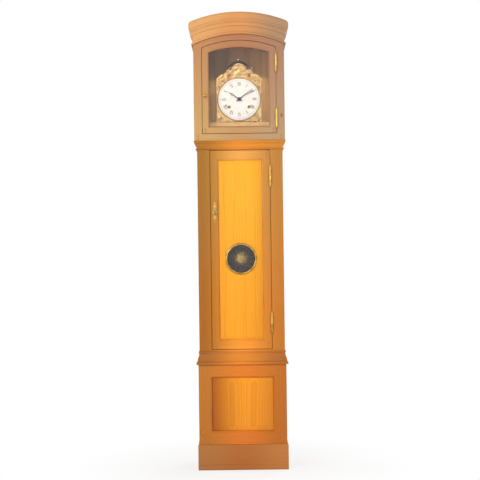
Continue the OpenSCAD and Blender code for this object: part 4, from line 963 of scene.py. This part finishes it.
@dataclass
class Pins(Fitting):
    """Round-headed brass pins that fix the keyhole's plate to the door, 4 mm across."""

    radius: float = 0.0021
    dome: float = 0.55
    ends: float = 0.044
    corner: tuple[float, float] = (0.0078, 0.031)

    def build(self) -> None:
        """Pins the escutcheon at its ends and corners.

        A head is a quarter of an ellipse, (r cos a, 0.55 r sin a), turned round its pin.
        """
        a = np.linspace(0, np.pi / 2, 6)
        head = self.radius * np.stack([np.cos(a), self.dome * np.sin(a)], axis=1)
        profile = np.vstack([[0, -0.001], [self.radius, -0.001], head])
        profile[-1, 0] = 0.0
        low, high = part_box("trunk_escutcheon")
        x, z = (low.x + high.x) / 2, (low.z + high.z) / 2
        spots = [(x, z - self.ends), (x, z + self.ends)]
        spots += [(x + s * self.corner[0], z + t * self.corner[1]) for s in (-1, 1) for t in (-1, 1)]
        pins = [turned(profile, (px, low.y, pz), steps=16) for px, pz in spots]
        self.shop.piece("escutcheon_pins", "trunk_door", "lacquered_rolled_brass", "brass", join(pins))


@dataclass
class PanelBeads(Fitting):
    """Small ovolo beads planted round the panels, 7 mm wide, mitred at the corners."""

    width: float = 0.007
    lip: float = 0.0012

    def build(self) -> None:
        """Makes the beads of the trunk door and the base."""
        self.loop("trunk_door_bead", "trunk_door", "trunk_door_frame", "waxed_pine_door_bead",
                  (0.034, 0.042), 0.0076)
        self.loop("base_bead", "case", "base_frame", "waxed_pine_base_bead", (0.06, 0.06), 0.0102)

    def loop(self, name: str, body: str, node: str, finish: str, inset: tuple[float, float],
             depth: float) -> None:
        """Carries the bead's section round the opening of a frame.

        The section's face is a quarter of an ellipse, (w sin a, lip + (d - 0.003)(1 - cos a)).

        Args:
            name: the piece's name.
            body: what it rides on.
            node: the frame.
            finish: its wood.
            inset: from the frame's outer edges to its opening, across and up.
            depth: from the frame's face back to the panel's tongue.
        """
        low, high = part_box(node)
        left, right = low.x + inset[0], high.x - inset[0]
        foot, top = low.z + inset[1], high.z - inset[1]
        flat = ((left, foot), (right, foot), (right, top), (left, top))
        corners = np.array([[x, low.y, z] for x, z in flat])
        inward = np.array([[1, 0, 1], [-1, 0, 1], [-1, 0, -1], [1, 0, -1]], float)
        a = np.linspace(0, np.pi / 2, 7)
        curve = np.stack([self.width * np.sin(a), self.lip + (depth - 0.003) * (1 - np.cos(a))], axis=1)
        section = np.vstack([curve, [[self.width, depth], [0.0, depth]]])
        surface = sweep(corners, inward, BACK, section, closed=True)
        self.shop.piece(name, body, finish, "pine", surface, smooth=False)


@dataclass
class GlazingBead(Fitting):
    """The ovolo bead that frames the hood door's glass, round its arched opening."""

    width: float = 0.006
    lip: float = 0.0008
    hollow: float = 0.006
    rail: float = 0.028
    arch_z: float = 1.66
    radius: float = 0.4695
    half: float = 0.157
    gap: float = 0.0002

    def build(self) -> None:
        """Carries the bead up the sides and over the arch.

        At each corner the section is stretched along the mitre, the sum of the two edges'
        normals over its length along one of them.
        """
        low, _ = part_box("hood_door_frame")
        glass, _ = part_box("hood_door_glass")
        foot = low.z + self.rail
        reach = math.asin(self.half / self.radius)
        a = np.linspace(-reach, reach, 41)
        arch = np.stack([self.radius * np.sin(a), self.arch_z + self.radius * np.cos(a)], axis=1)[::-1]
        line = np.vstack([[-self.half, foot], [self.half, foot], arch])
        ahead = np.roll(line, -1, axis=0) - line
        ahead /= np.linalg.norm(ahead, axis=1, keepdims=True)
        left = ahead[:, ::-1] * (-1, 1)
        mitre = left + np.roll(left, 1, axis=0)
        mitre /= np.einsum("ij,ij->i", mitre, left)[:, None]
        path = np.stack([line[:, 0], np.full(len(line), low.y), line[:, 1]], axis=1)
        inward = np.stack([mitre[:, 0], np.zeros(len(line)), mitre[:, 1]], axis=1)
        depth = glass.y - low.y - self.gap
        b = np.linspace(0, np.pi / 2, 7)
        curve = np.stack([self.width * np.sin(b), self.lip + self.hollow * (1 - np.cos(b))], axis=1)
        section = np.vstack([curve, [[self.width, depth], [self.gap, depth], [self.gap, self.lip]]])
        surface = sweep(path, inward, BACK, section, closed=True)
        self.shop.piece("hood_door_bead", "hood_door", "waxed_pine_hood_bead", "pine", surface, smooth=False)


# Dial


@dataclass(frozen=True)
class Mark:
    """One Roman mark, with places across and up it from -1 to 1.

    Strokes have two ends and a width. Feet have a place and half a length.
    """

    width: float
    strokes: tuple[tuple[float, float, float, float, float], ...]
    feet: tuple[tuple[float, float, float], ...]


MARKS = {
    "I": Mark(0.0042, ((0, -1, 0, 1, 0.0021),), ((0, -1, 0.0017), (0, 1, 0.0017))),
    "V": Mark(0.0098, ((-1, 1, 0, -1, 0.0022), (1, 1, 0, -1, 0.0008)), ((-1, 1, 0.0017), (1, 1, 0.0013))),
    "X": Mark(0.0098, ((-1, 1, 1, -1, 0.0022), (1, 1, -1, -1, 0.0008)),
              ((-1, -1, 0.0016), (-1, 1, 0.0016), (1, -1, 0.0016), (1, 1, 0.0016))),
}
HOURS = "I II III IIII V VI VII VIII IX X XI XII".split()


@dataclass
class DialFace(Fitting):
    """The painted chapter ring on the domed enamel dial, with its winding-hole bushes."""

    radius: float = 0.105
    rise: float = 0.006
    lift: float = 0.00012
    height: float = 0.019
    middle: float = 0.078
    spread: float = 0.36
    foot: float = 0.0006
    track: float = 0.0955
    track_width: float = 0.0052
    thin: float = 0.0005
    long_mark: float = 0.0017
    short_mark: float = 0.0006
    steps: int = 7
    ring_steps: int = 180
    holes: tuple[Triple, ...] = ((-0.05, -0.03947, 0.0062), (0.05, -0.03947, 0.0062), (0.0, 0.0, 0.0072))
    centre: Triple = field(init=False)

    def __post_init__(self) -> None:
        """Takes the dial's place from its node."""
        low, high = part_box("dial")
        self.centre = ((low.x + high.x) / 2, low.y, (low.z + high.z) / 2)

    def on_dome(self, flat: Array) -> Array:
        """Lays (across, up) pairs on the dome.

        The dome is a sphere of radius R = (r^2 + h^2) / 2h, and its surface falls behind its
        crown by R - sqrt(R^2 - d^2) at a distance d.

        Args:
            flat: the pairs.

        Returns:
            Points just in front of the enamel.
        """
        big = (self.radius**2 + self.rise**2) / (2 * self.rise)
        fall = big - np.sqrt(big**2 - (flat**2).sum(-1))
        x, y, z = self.centre
        return np.stack([x + flat[..., 0], y + fall - self.lift, z + flat[..., 1]], axis=-1)

    def ribbon(self, left: Array, right: Array, closed: bool) -> Surface:
        """Paints between two lines on the dome, in a coat with a little thickness.

        Args:
            left: (across, up) pairs of one edge.
            right: those of the other.
            closed: whether the lines are loops.

        Returns:
            Points and faces.
        """
        edges = [self.on_dome(edge) for edge in (left, right)]
        under = [edge + (0.0, self.lift * 0.8, 0.0) for edge in edges]
        loop = np.stack([*edges, *under[::-1]], axis=1).reshape(-1, 3)
        return skin(loop, 4, closed)

    def stroke(self, start: Array, end: Array, width: float) -> Surface:
        """Paints a straight stroke in a few steps, so that it follows the dome.

        Args:
            start: where it begins, as (across, up).
            end: where it ends.
            width: its width.

        Returns:
            Points and faces.
        """
        run = end - start
        side = np.array([-run[1], run[0]]) / np.linalg.norm(run) * (width / 2)
        line = start + np.linspace(0, 1, self.steps)[:, None] * run
        return self.ribbon(line + side, line - side, closed=False)

    def ring(self, radius: float) -> Surface:
        """Paints a thin circle.

        Args:
            radius: its radius.

        Returns:
            Points and faces.
        """
        turn, half = circle(self.ring_steps)[:, ::-1], self.thin / 2
        return self.ribbon(turn * (radius + half), turn * (radius - half), closed=True)

    def numeral(self, hour: int) -> list[Surface]:
        """Paints one Roman hour, its foot towards the centre.

        Args:
            hour: from 1 to 12.

        Returns:
            Its strokes.
        """
        marks = [MARKS[letter] for letter in HOURS[hour - 1]]
        a = math.radians(30 * hour)
        out, side = np.array([math.sin(a), math.cos(a)]), np.array([math.cos(a), -math.sin(a)])
        h = self.height / 2

        def at(across: float, up: float) -> Array:
            """Gives a point of the numeral.

            Args:
                across: how far to its right, in metres.
                up: how high on it, from -1 to 1.

            Returns:
                The point on the dial, as (across, up).
            """
            return out * (self.middle + up * h) + side * across

        strokes: list[Surface] = []
        u = -sum(mark.width for mark in marks) / 2
        for mark in marks:
            mid, reach = u + mark.width / 2, mark.width * self.spread
            strokes += [self.stroke(at(mid + x1 * reach, z1), at(mid + x2 * reach, z2), width)
                        for x1, z1, x2, z2, width in mark.strokes]
            strokes += [self.stroke(at(mid + x * reach - w, z), at(mid + x * reach + w, z), self.foot)
                        for x, z, w in mark.feet]
            u += mark.width
        return strokes

    def build(self) -> None:
        """Paints the hours and the minute track, and bushes the holes."""
        hours = [stroke for hour in range(1, 13) for stroke in self.numeral(hour)]
        self.shop.piece("dial_hours", "case", "black_enamel_paint", "enamel", join(hours), smooth=False)
        rim = self.track + self.track_width
        minutes = [self.ring(self.track), self.ring(rim)]
        for minute in range(60):
            a = math.radians(6 * minute)
            out = np.array([math.sin(a), math.cos(a)])
            width = self.long_mark if minute % 5 == 0 else self.short_mark
            minutes.append(self.stroke(out * self.track, out * rim, width))
        self.shop.piece("dial_minutes", "case", "black_enamel_paint", "enamel", join(minutes), smooth=False)
        bead = circle(12) * (0.0011, 0.0009) + (0.0008, 0.0004)
        bushes = [turned(bead + (r, 0.0), self.on_dome(np.array([x, z])), steps=40)
                  for x, z, r in self.holes]
        self.shop.piece("dial_bushes", "case", "lacquered_rolled_brass", "brass", join(bushes))


@dataclass(frozen=True)
class Scroll:
    """A raised scroll of the pediment's right half.

    x and z place its eye from the dial's centre. Its outer end has the angle and the size. It
    goes round so many turns, one way (1) or the other (-1), on a stem that is thick at its end.
    """

    x: float
    z: float
    angle: float
    lean: float
    size: float
    turns: float
    way: int
    thick: float


@dataclass
class Pediment(Fitting):
    """Stamped ornament on the dial's brass surround: beading, scrolls, rosettes and a shell."""

    shell_z: float = 0.138
    shell_radius: float = 0.036
    ribs: int = 9
    bead_radius: float = 0.109
    beads: int = 72
    scroll_steps: int = 90
    scrolls: tuple[Scroll, ...] = (
        Scroll(0.052, 0.120, 90, -60, 0.022, 1.6, 1, 0.0032),
        Scroll(0.084, 0.092, 90, -35, 0.019, 1.4, -1, 0.0028),
        Scroll(0.030, 0.150, 90, -95, 0.020, 1.2, 1, 0.0026),
        Scroll(0.100, 0.066, 90, 20, 0.012, 1.2, 1, 0.0022),
        Scroll(0.092, -0.092, -90, 40, 0.016, 1.3, -1, 0.0024),
    )
    large_bloom: tuple[float, float] = (0.052, 0.120)
    small_blooms: tuple[tuple[float, float], ...] = (
        (0.084, 0.092), (0.100, 0.066), (0.094, -0.094), (0.030, 0.150))
    face: float = field(init=False)
    dial_z: float = field(init=False)

    def __post_init__(self) -> None:
        """Takes the plate's face and the dial's centre from their nodes."""
        low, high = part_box("dial")
        self.dial_z = (low.z + high.z) / 2
        self.face = high.y + 0.0003

    def scroll(self, form: Scroll, hand: int) -> Surface:
        """Makes a scroll: a spiral whose radius grows with its turn, thin at its eye.

        At t from 0 to 1 the radius is size * (0.08 + 0.92 t^1.2), and the stem's is
        thick * sin(pi (0.12 + 0.8 t))^0.8.

        Args:
            form: the scroll.
            hand: 1 for the right half, -1 for its mirror image.

        Returns:
            Points and faces.
        """
        t = np.linspace(0, 1, self.scroll_steps)
        way = hand * form.way
        a = math.radians(form.angle + hand * form.lean) + way * FULL_TURN * form.turns * (1 - t)
        r = form.size * (0.08 + 0.92 * t**1.2)
        path = np.stack([hand * form.x + r * np.cos(a), np.full_like(t, self.face),
                         self.dial_z + form.z + r * np.sin(a)], axis=1)
        ahead = np.gradient(path, axis=0)
        ahead /= np.linalg.norm(ahead, axis=1, keepdims=True)
        stem = form.thick * np.sin(np.pi * (0.12 + 0.8 * t)) ** 0.8
        return sweep(path, np.cross(FRONT, ahead), FRONT, circle(10) * stem[:, None, None])

    def bloom(self, x: float, z: float, radius: float, high: float, petals: int) -> Surface:
        """Makes a rosette: a dome whose height and edge swell with each petal.

        Height is h * (1 - s^2) * (1 + 0.35 cos(n a) s), and the edge is r * (1 + 0.12 cos(n a)).

        Args:
            x: its place across.
            z: its height above the dial's centre.
            radius: its radius r.
            high: its height h.
            petals: how many petals n.

        Returns:
            Points and faces.
        """
        count = petals * 12
        s = np.linspace(0.06, 1, 12)[:, None]
        a = angles(count)[None]
        wave = np.cos(petals * a)
        r = radius * s * (1 + 0.12 * wave * s)
        h = high * (1 - s**2) * (1 + 0.35 * wave * s) + 0.0008
        points = np.stack([x + r * np.cos(a), self.face - h, self.dial_z + z + r * np.sin(a)], axis=-1)
        under = points[-1].copy()
        under[:, 1] = self.face + 0.0005
        return skin(np.vstack([points.reshape(-1, 3), under]), count)

    def shell(self) -> Surface:
        """Makes a fan-shaped shell over the crown: ribs run out from its foot to a scalloped edge.

        With w = |cos(ribs * turn)|, the edge is r (1 + 0.05 w), and the height is
        0.0012 + 0.0045 sin(pi s)^0.7 (0.55 + 0.45 w) at s of the radius.

        Returns:
            Points and faces.
        """
        first, last = 8, 172
        s = np.linspace(0.1, 1, 14)[:, None]
        a = np.linspace(math.radians(first), math.radians(last), self.ribs * 10 + 1)[None]
        wave = np.abs(np.cos(self.ribs * (a - math.radians(first)) * 180 / (last - first)))
        r = self.shell_radius * s * (1 + 0.05 * wave * s)
        h = 0.0012 + 0.0045 * np.sin(np.pi * np.clip(s, 0, 0.98)) ** 0.7 * (0.55 + 0.45 * wave)
        foot = self.dial_z + self.shell_z
        points = np.stack([r * np.cos(a), self.face - h, foot + r * np.sin(a)], axis=-1)
        rows, columns = points.shape[:2]
        back = points.copy()
        back[..., 1] = self.face + 0.0004
        verts = np.concatenate([points.reshape(-1, 3), back.reshape(-1, 3)])
        front_faces = grid_faces(rows, columns, wrap=False)
        edge = np.concatenate([np.arange(columns), np.arange(1, rows) * columns + columns - 1,
                               (rows - 1) * columns + np.arange(columns - 2, -1, -1),
                               np.arange(rows - 2, 0, -1) * columns])
        after, size = np.roll(edge, -1), rows * columns
        rim = np.stack([edge, edge + size, after + size, after], axis=1)
        return outward(verts, [front_faces, front_faces[:, ::-1] + size, rim])

    def build(self) -> None:
        """Makes the beading, the scrolls, the rosettes and the shell.

        The beading is a round section whose radius swells as 0.0016 + 0.0007 cos(72 a).
        """
        a = angles(self.beads * 12)
        out = np.stack([np.cos(a), np.zeros_like(a), np.sin(a)], axis=1)
        path = self.bead_radius * out + (0.0, self.face - 0.0026, self.dial_z)
        swell = 0.0016 + 0.0007 * np.cos(self.beads * a)
        scrolls = [self.scroll(form, hand) for hand in (-1, 1) for form in self.scrolls]
        x, z = self.large_bloom
        blooms = [self.bloom(hand * x, z, 0.010, 0.006, 8) for hand in (-1, 1)]
        blooms += [self.bloom(hand * x, z, 0.006, 0.0035, 6)
                   for hand in (-1, 1) for x, z in self.small_blooms]
        for name, surface in {
            "surround_beading": sweep(path, out, FRONT, circle(8) * swell[:, None, None], closed=True),
            "pediment_scrolls": join(scrolls),
            "pediment_rosettes": join(blooms),
            "pediment_shell": self.shell(),
        }.items():
            self.shop.piece(name, "case", "stamped_gilt_brass", "brass", surface)


# Movement


@dataclass
class Lines(Fitting):
    """The two weight lines, from the barrels down to the weights' hooks, and their turns."""

    radius: float = 0.0013
    around: int = 10
    lie: float = 0.0258
    pitch: float = 0.026 / 7
    count: int = 3
    steps: int = 60
    tuck: float = 0.0002
    stiff_end: float = 0.004

    def tube(self, name: str, body: str, path: Array, side: Array | Triple) -> bpy.types.Object:
        """Makes a line along a path, with a UV map of its length and its turn round itself.

        Args:
            name: the piece's name.
            body: what it rides on, or an empty name.
            path: its points.
            side: a direction square to the path and to y, at each point or one for all.

        Returns:
            The new object.
        """
        surface = sweep(path, side, BACK, self.radius * circle(self.around))
        obj = self.shop.piece(name, body, "twisted_gut_line", "line", surface)
        steps = np.r_[0.0, np.cumsum(np.linalg.norm(np.diff(path, axis=0), axis=1))]
        uv = np.stack([np.repeat(steps, self.around),
                       np.tile(np.arange(self.around) / self.around, len(path))], axis=1)
        layer = obj.data.uv_layers.new(name="line")
        index = np.zeros(len(obj.data.loops), np.int32)
        obj.data.loops.foreach_get("vertex_index", index)
        layer.data.foreach_set("uv", uv[index].ravel())
        return obj

    def build(self) -> None:
        """Makes each falling line and the turns on its barrel."""
        for train, hand in (("going", -1), ("strike", 1)):
            low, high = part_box(f"{train}_line")
            x, y = (low.x + high.x) / 2, (low.y + high.y) / 2
            z = np.linspace(high.z - self.tuck, low.z + self.tuck, self.steps)
            path = np.stack([np.full_like(z, x), np.full_like(z, y), z], axis=1)
            line = self.tube(f"{train}_fall", "", path, (1.0, 0.0, 0.0))
            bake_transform(line)
            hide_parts(f"{train}_line")
            self.wind(train, hand, (x - hand * self.lie, y, high.z))

    def wind(self, train: str, hand: int, centre: Triple) -> None:
        """Winds the line on its barrel: one turn in each groove, from where the fall leaves it.

        A point is at the groove's radius from the barrel's axis, and moves back by one pitch in
        each turn, in its last tenth.

        Args:
            train: going or strike.
            hand: the side of the barrel that the line leaves, -1 or 1.
            centre: the barrel's middle.
        """
        a = np.linspace(0.02, FULL_TURN * self.count, self.steps * self.count)
        whole = np.floor(a / FULL_TURN)
        late = np.clip((a / FULL_TURN - whole - 0.9) / 0.1, 0, 1)
        step = whole + late * late * (3 - 2 * late)
        angle = (np.pi if hand < 0 else 0.0) - hand * a
        radial = np.stack([np.cos(angle), np.zeros_like(a), np.sin(angle)], axis=1)
        path = np.array(centre) + self.lie * radial + (step * self.pitch)[:, None] * BACK
        self.tube(f"{train}_turns", f"{train}_barrel", path, radial)


@dataclass
class RatingNut(Fitting):
    """The knurled brass band of the nut that the pendulum's bob rests on."""

    radius: float = 0.0092
    bore: float = 0.0085
    half: float = 0.0028
    below_bob: float = 0.0041
    ridges: int = 40

    def build(self) -> None:
        """Turns the band, its radius rippled by 1 + 0.022 cos(40 a), and puts it round the nut."""
        low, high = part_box("pendulum_rod")
        bob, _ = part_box("pendulum_bob")
        r, h = self.radius, self.half
        profile = np.array([[self.bore, -h], [r - 0.0004, -h], [r, 0.0006 - h], [r, h - 0.0006],
                            [r - 0.0004, h], [self.bore, h]])
        centre = ((low.x + high.x) / 2, (low.y + high.y) / 2, bob.z - self.below_bob)
        band = turned(profile, centre, (0.0, 0.0, 1.0), self.ridges * 6,
                      lambda a: 1 + 0.022 * np.cos(self.ridges * a))
        self.shop.piece("rating_nut_knurl", "pendulum", "lacquered_rolled_brass", "brass", band,
                        smooth=False)


@dataclass
class BackNails(Fitting):
    """Cut iron nails that hold the back boards, driven nearly flush."""

    radius: float = 0.0035
    boards: int = 4
    edge: float = 0.018
    places: tuple[float, float] = (0.2, 0.8)
    heights: tuple[float, ...] = (0.16, 0.58, 1.1, 1.62, 1.742)

    def build(self) -> None:
        """Nails each board in five rows, two nails to a row."""
        low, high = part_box("back_boards")
        r = self.radius
        profile = np.array([[0, -0.002], [r, -0.002], [r, 0.0001], [r * 0.5, 0.0004], [0, 0.0005]])
        width = (high.x - low.x - 2 * self.edge) / self.boards
        heads = [turned(profile, (low.x + self.edge + width * (k + part), high.y, z), BACK, 8)
                 for k in range(self.boards) for part in self.places for z in self.heights]
        self.shop.piece("back_nails", "case", "blacked_cast_iron", "iron", join(heads), smooth=False)


@dataclass
class LockScrews(Fitting):
    """Four round-headed steel screws that hold the lock's case to the back of the door."""

    radius: float = 0.0026
    inset: float = 0.005

    def build(self) -> None:
        """Makes the screws, with a hollow in each head for its slot."""
        low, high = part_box("trunk_lock_case")
        r, edge = self.radius, self.inset
        profile = np.array([[0, -0.0005], [r, -0.0005], [r, 0.0002], [r * 0.8, 0.0009], [r * 0.4, 0.0012],
                            [r * 0.2, 0.0005], [0, 0.0005]])
        heads = [turned(profile, (x, high.y, z), BACK, 20)
                 for x in (low.x + edge, high.x - edge) for z in (low.z + edge, high.z - edge)]
        self.shop.piece("lock_screws", "trunk_door", "blued_steel_hands", "steel", join(heads), smooth=False)


@dataclass
class PlateScrews(Fitting):
    """Blued screws with cheese heads, on the front ends of the plates' pillars."""

    radius: float = 0.0042
    high: float = 0.0022
    plate: float = 0.003
    foot: float = 0.018
    head: float = 0.012
    low_x: tuple[float, ...] = (-0.1028, 0.0, 0.1028)
    high_x: tuple[float, ...] = (-0.07, 0.07)

    def build(self) -> None:
        """Makes the screws, with a hollow in each head for its slot."""
        low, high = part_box("front_plate")
        r, h = self.radius, self.high
        profile = np.array([[0, 0], [r, 0], [r, h * 0.8], [r * 0.9, h], [r * 0.3, h], [r * 0.24, h * 0.55],
                            [0, h * 0.55]])
        spots = [(x, low.z + self.foot) for x in self.low_x] + [(x, high.z - self.head) for x in self.high_x]
        screws = [turned(profile, (x, high.y - self.plate, z), steps=24) for x, z in spots]
        self.shop.piece("pillar_screws", "case", "blued_steel_hands", "steel", join(screws), smooth=False)


# Camera and light


@dataclass(frozen=True)
class Lamp:
    """A soft square lamp that faces a height on the clock's middle line."""

    name: str
    spot: Triple
    aim: float
    size: float
    power: float
    tint: str = "FFFFFF"
    mirrored: bool = True

    def hang(self) -> None:
        """Makes the lamp and turns it to the clock."""
        data = bpy.data.lights.new(self.name, "AREA")
        data.size = self.size
        data.energy = self.power
        data.color = linear(self.tint)[:3]
        lamp = bpy.data.objects.new(self.name, data)
        lamp.location = self.spot
        lamp.visible_glossy = self.mirrored
        x, y, z = -self.spot[0], -self.spot[1], self.aim - self.spot[2]
        lamp.rotation_euler = (math.atan2(math.hypot(x, y), -z), 0.0, math.atan2(x, -y) + math.pi)
        bpy.context.scene.collection.objects.link(lamp)


@dataclass
class Studio:
    """The photograph's view: square on at mid-height, with a slight roll, on a white ground."""

    distance: float = 6.0
    height: float = 1.155
    across: float = -0.0045
    front: float = -0.12
    roll: float = 0.72
    span: float = 2.4106
    floor_half: float = 12.0
    soft: float = 0.34
    lamps: tuple[Lamp, ...] = (
        Lamp("key", (-2.6, -4.0, 2.6), 1.4, 3.0, 94.0, "FFF6EA"),
        Lamp("front", (0.0, -6.6, 5.0), 1.4, 0.8, 192.0, mirrored=False),
        Lamp("back", (2.8, 4.0, 2.6), 1.3, 2.0, 75.0),
        Lamp("fill", (2.6, -3.8, 1.6), 1.1, 2.0, 16.0),
        Lamp("left", (-4.6, 0.9, 2.2), 1.2, 2.0, 62.0),
        Lamp("right", (4.6, 0.9, 2.2), 1.2, 2.0, 62.0),
    )

    def camera(self) -> None:
        """Sets the camera so that span metres at the clock's front fill the picture."""
        data = bpy.data.cameras.new("camera")
        data.sensor_width = 36.0
        data.lens = data.sensor_width * self.distance / self.span
        data.clip_end = 60.0
        camera = bpy.data.objects.new("camera", data)
        camera.location = (self.across, self.front - self.distance, self.height)
        camera.rotation_euler = (math.pi / 2, math.radians(self.roll), 0.0)
        bpy.context.scene.collection.objects.link(camera)
        bpy.context.scene.camera = camera

    def floor(self) -> None:
        """Lays a wide flat floor."""
        mesh = bpy.data.meshes.new("floor")
        size = self.floor_half
        corners = [(-size, -size, 0), (size, -size, 0), (size, size, 0), (-size, size, 0)]
        mesh.from_pydata(corners, [], [(0, 1, 2, 3)])
        mesh.materials.append(PaintedFloor("pale_painted_floor").build())
        floor = bpy.data.objects.new("floor", mesh)
        bpy.context.scene.collection.objects.link(floor)

    def world(self) -> None:
        """Makes the world white where the camera sees it, and a soft grey light for the rest."""
        world = bpy.data.worlds.new("studio")
        world.use_nodes = True
        tree = world.node_tree
        tree.nodes.clear()
        white = add(tree, "Background", {"Color": WHITE, "Strength": 1.0})
        grey = add(tree, "Background", {"Color": linear("E8ECF2"), "Strength": self.soft})
        mixed = add(tree, "MixShader", [in_sight(tree), grey, white])
        add(tree, "OutputWorld", {"Surface": mixed})
        bpy.context.scene.world = world

    def build(self) -> None:
        """Sets up the camera, the floor, the world and the lamps."""
        self.camera()
        self.floor()
        self.world()
        for lamp in self.lamps:
            lamp.hang()


def main() -> None:
    """Loads the frame and builds each sub-assembly."""
    logging.basicConfig(level=logging.INFO, format="%(message)s")
    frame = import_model()
    Studio().build()
    bpy.context.scene.view_settings.view_transform = "Standard"
    shop = Workshop()
    shop.dress(frame["nodes"])
    for kind in (Pegs, Pins, PanelBeads, GlazingBead, DialFace, Pediment, Lines, PlateScrews, RatingNut,
                 BackNails, LockScrews):
        LOG.info("building %s", kind.__name__)
        kind(shop).build()


if __name__ == "__main__":
    main()
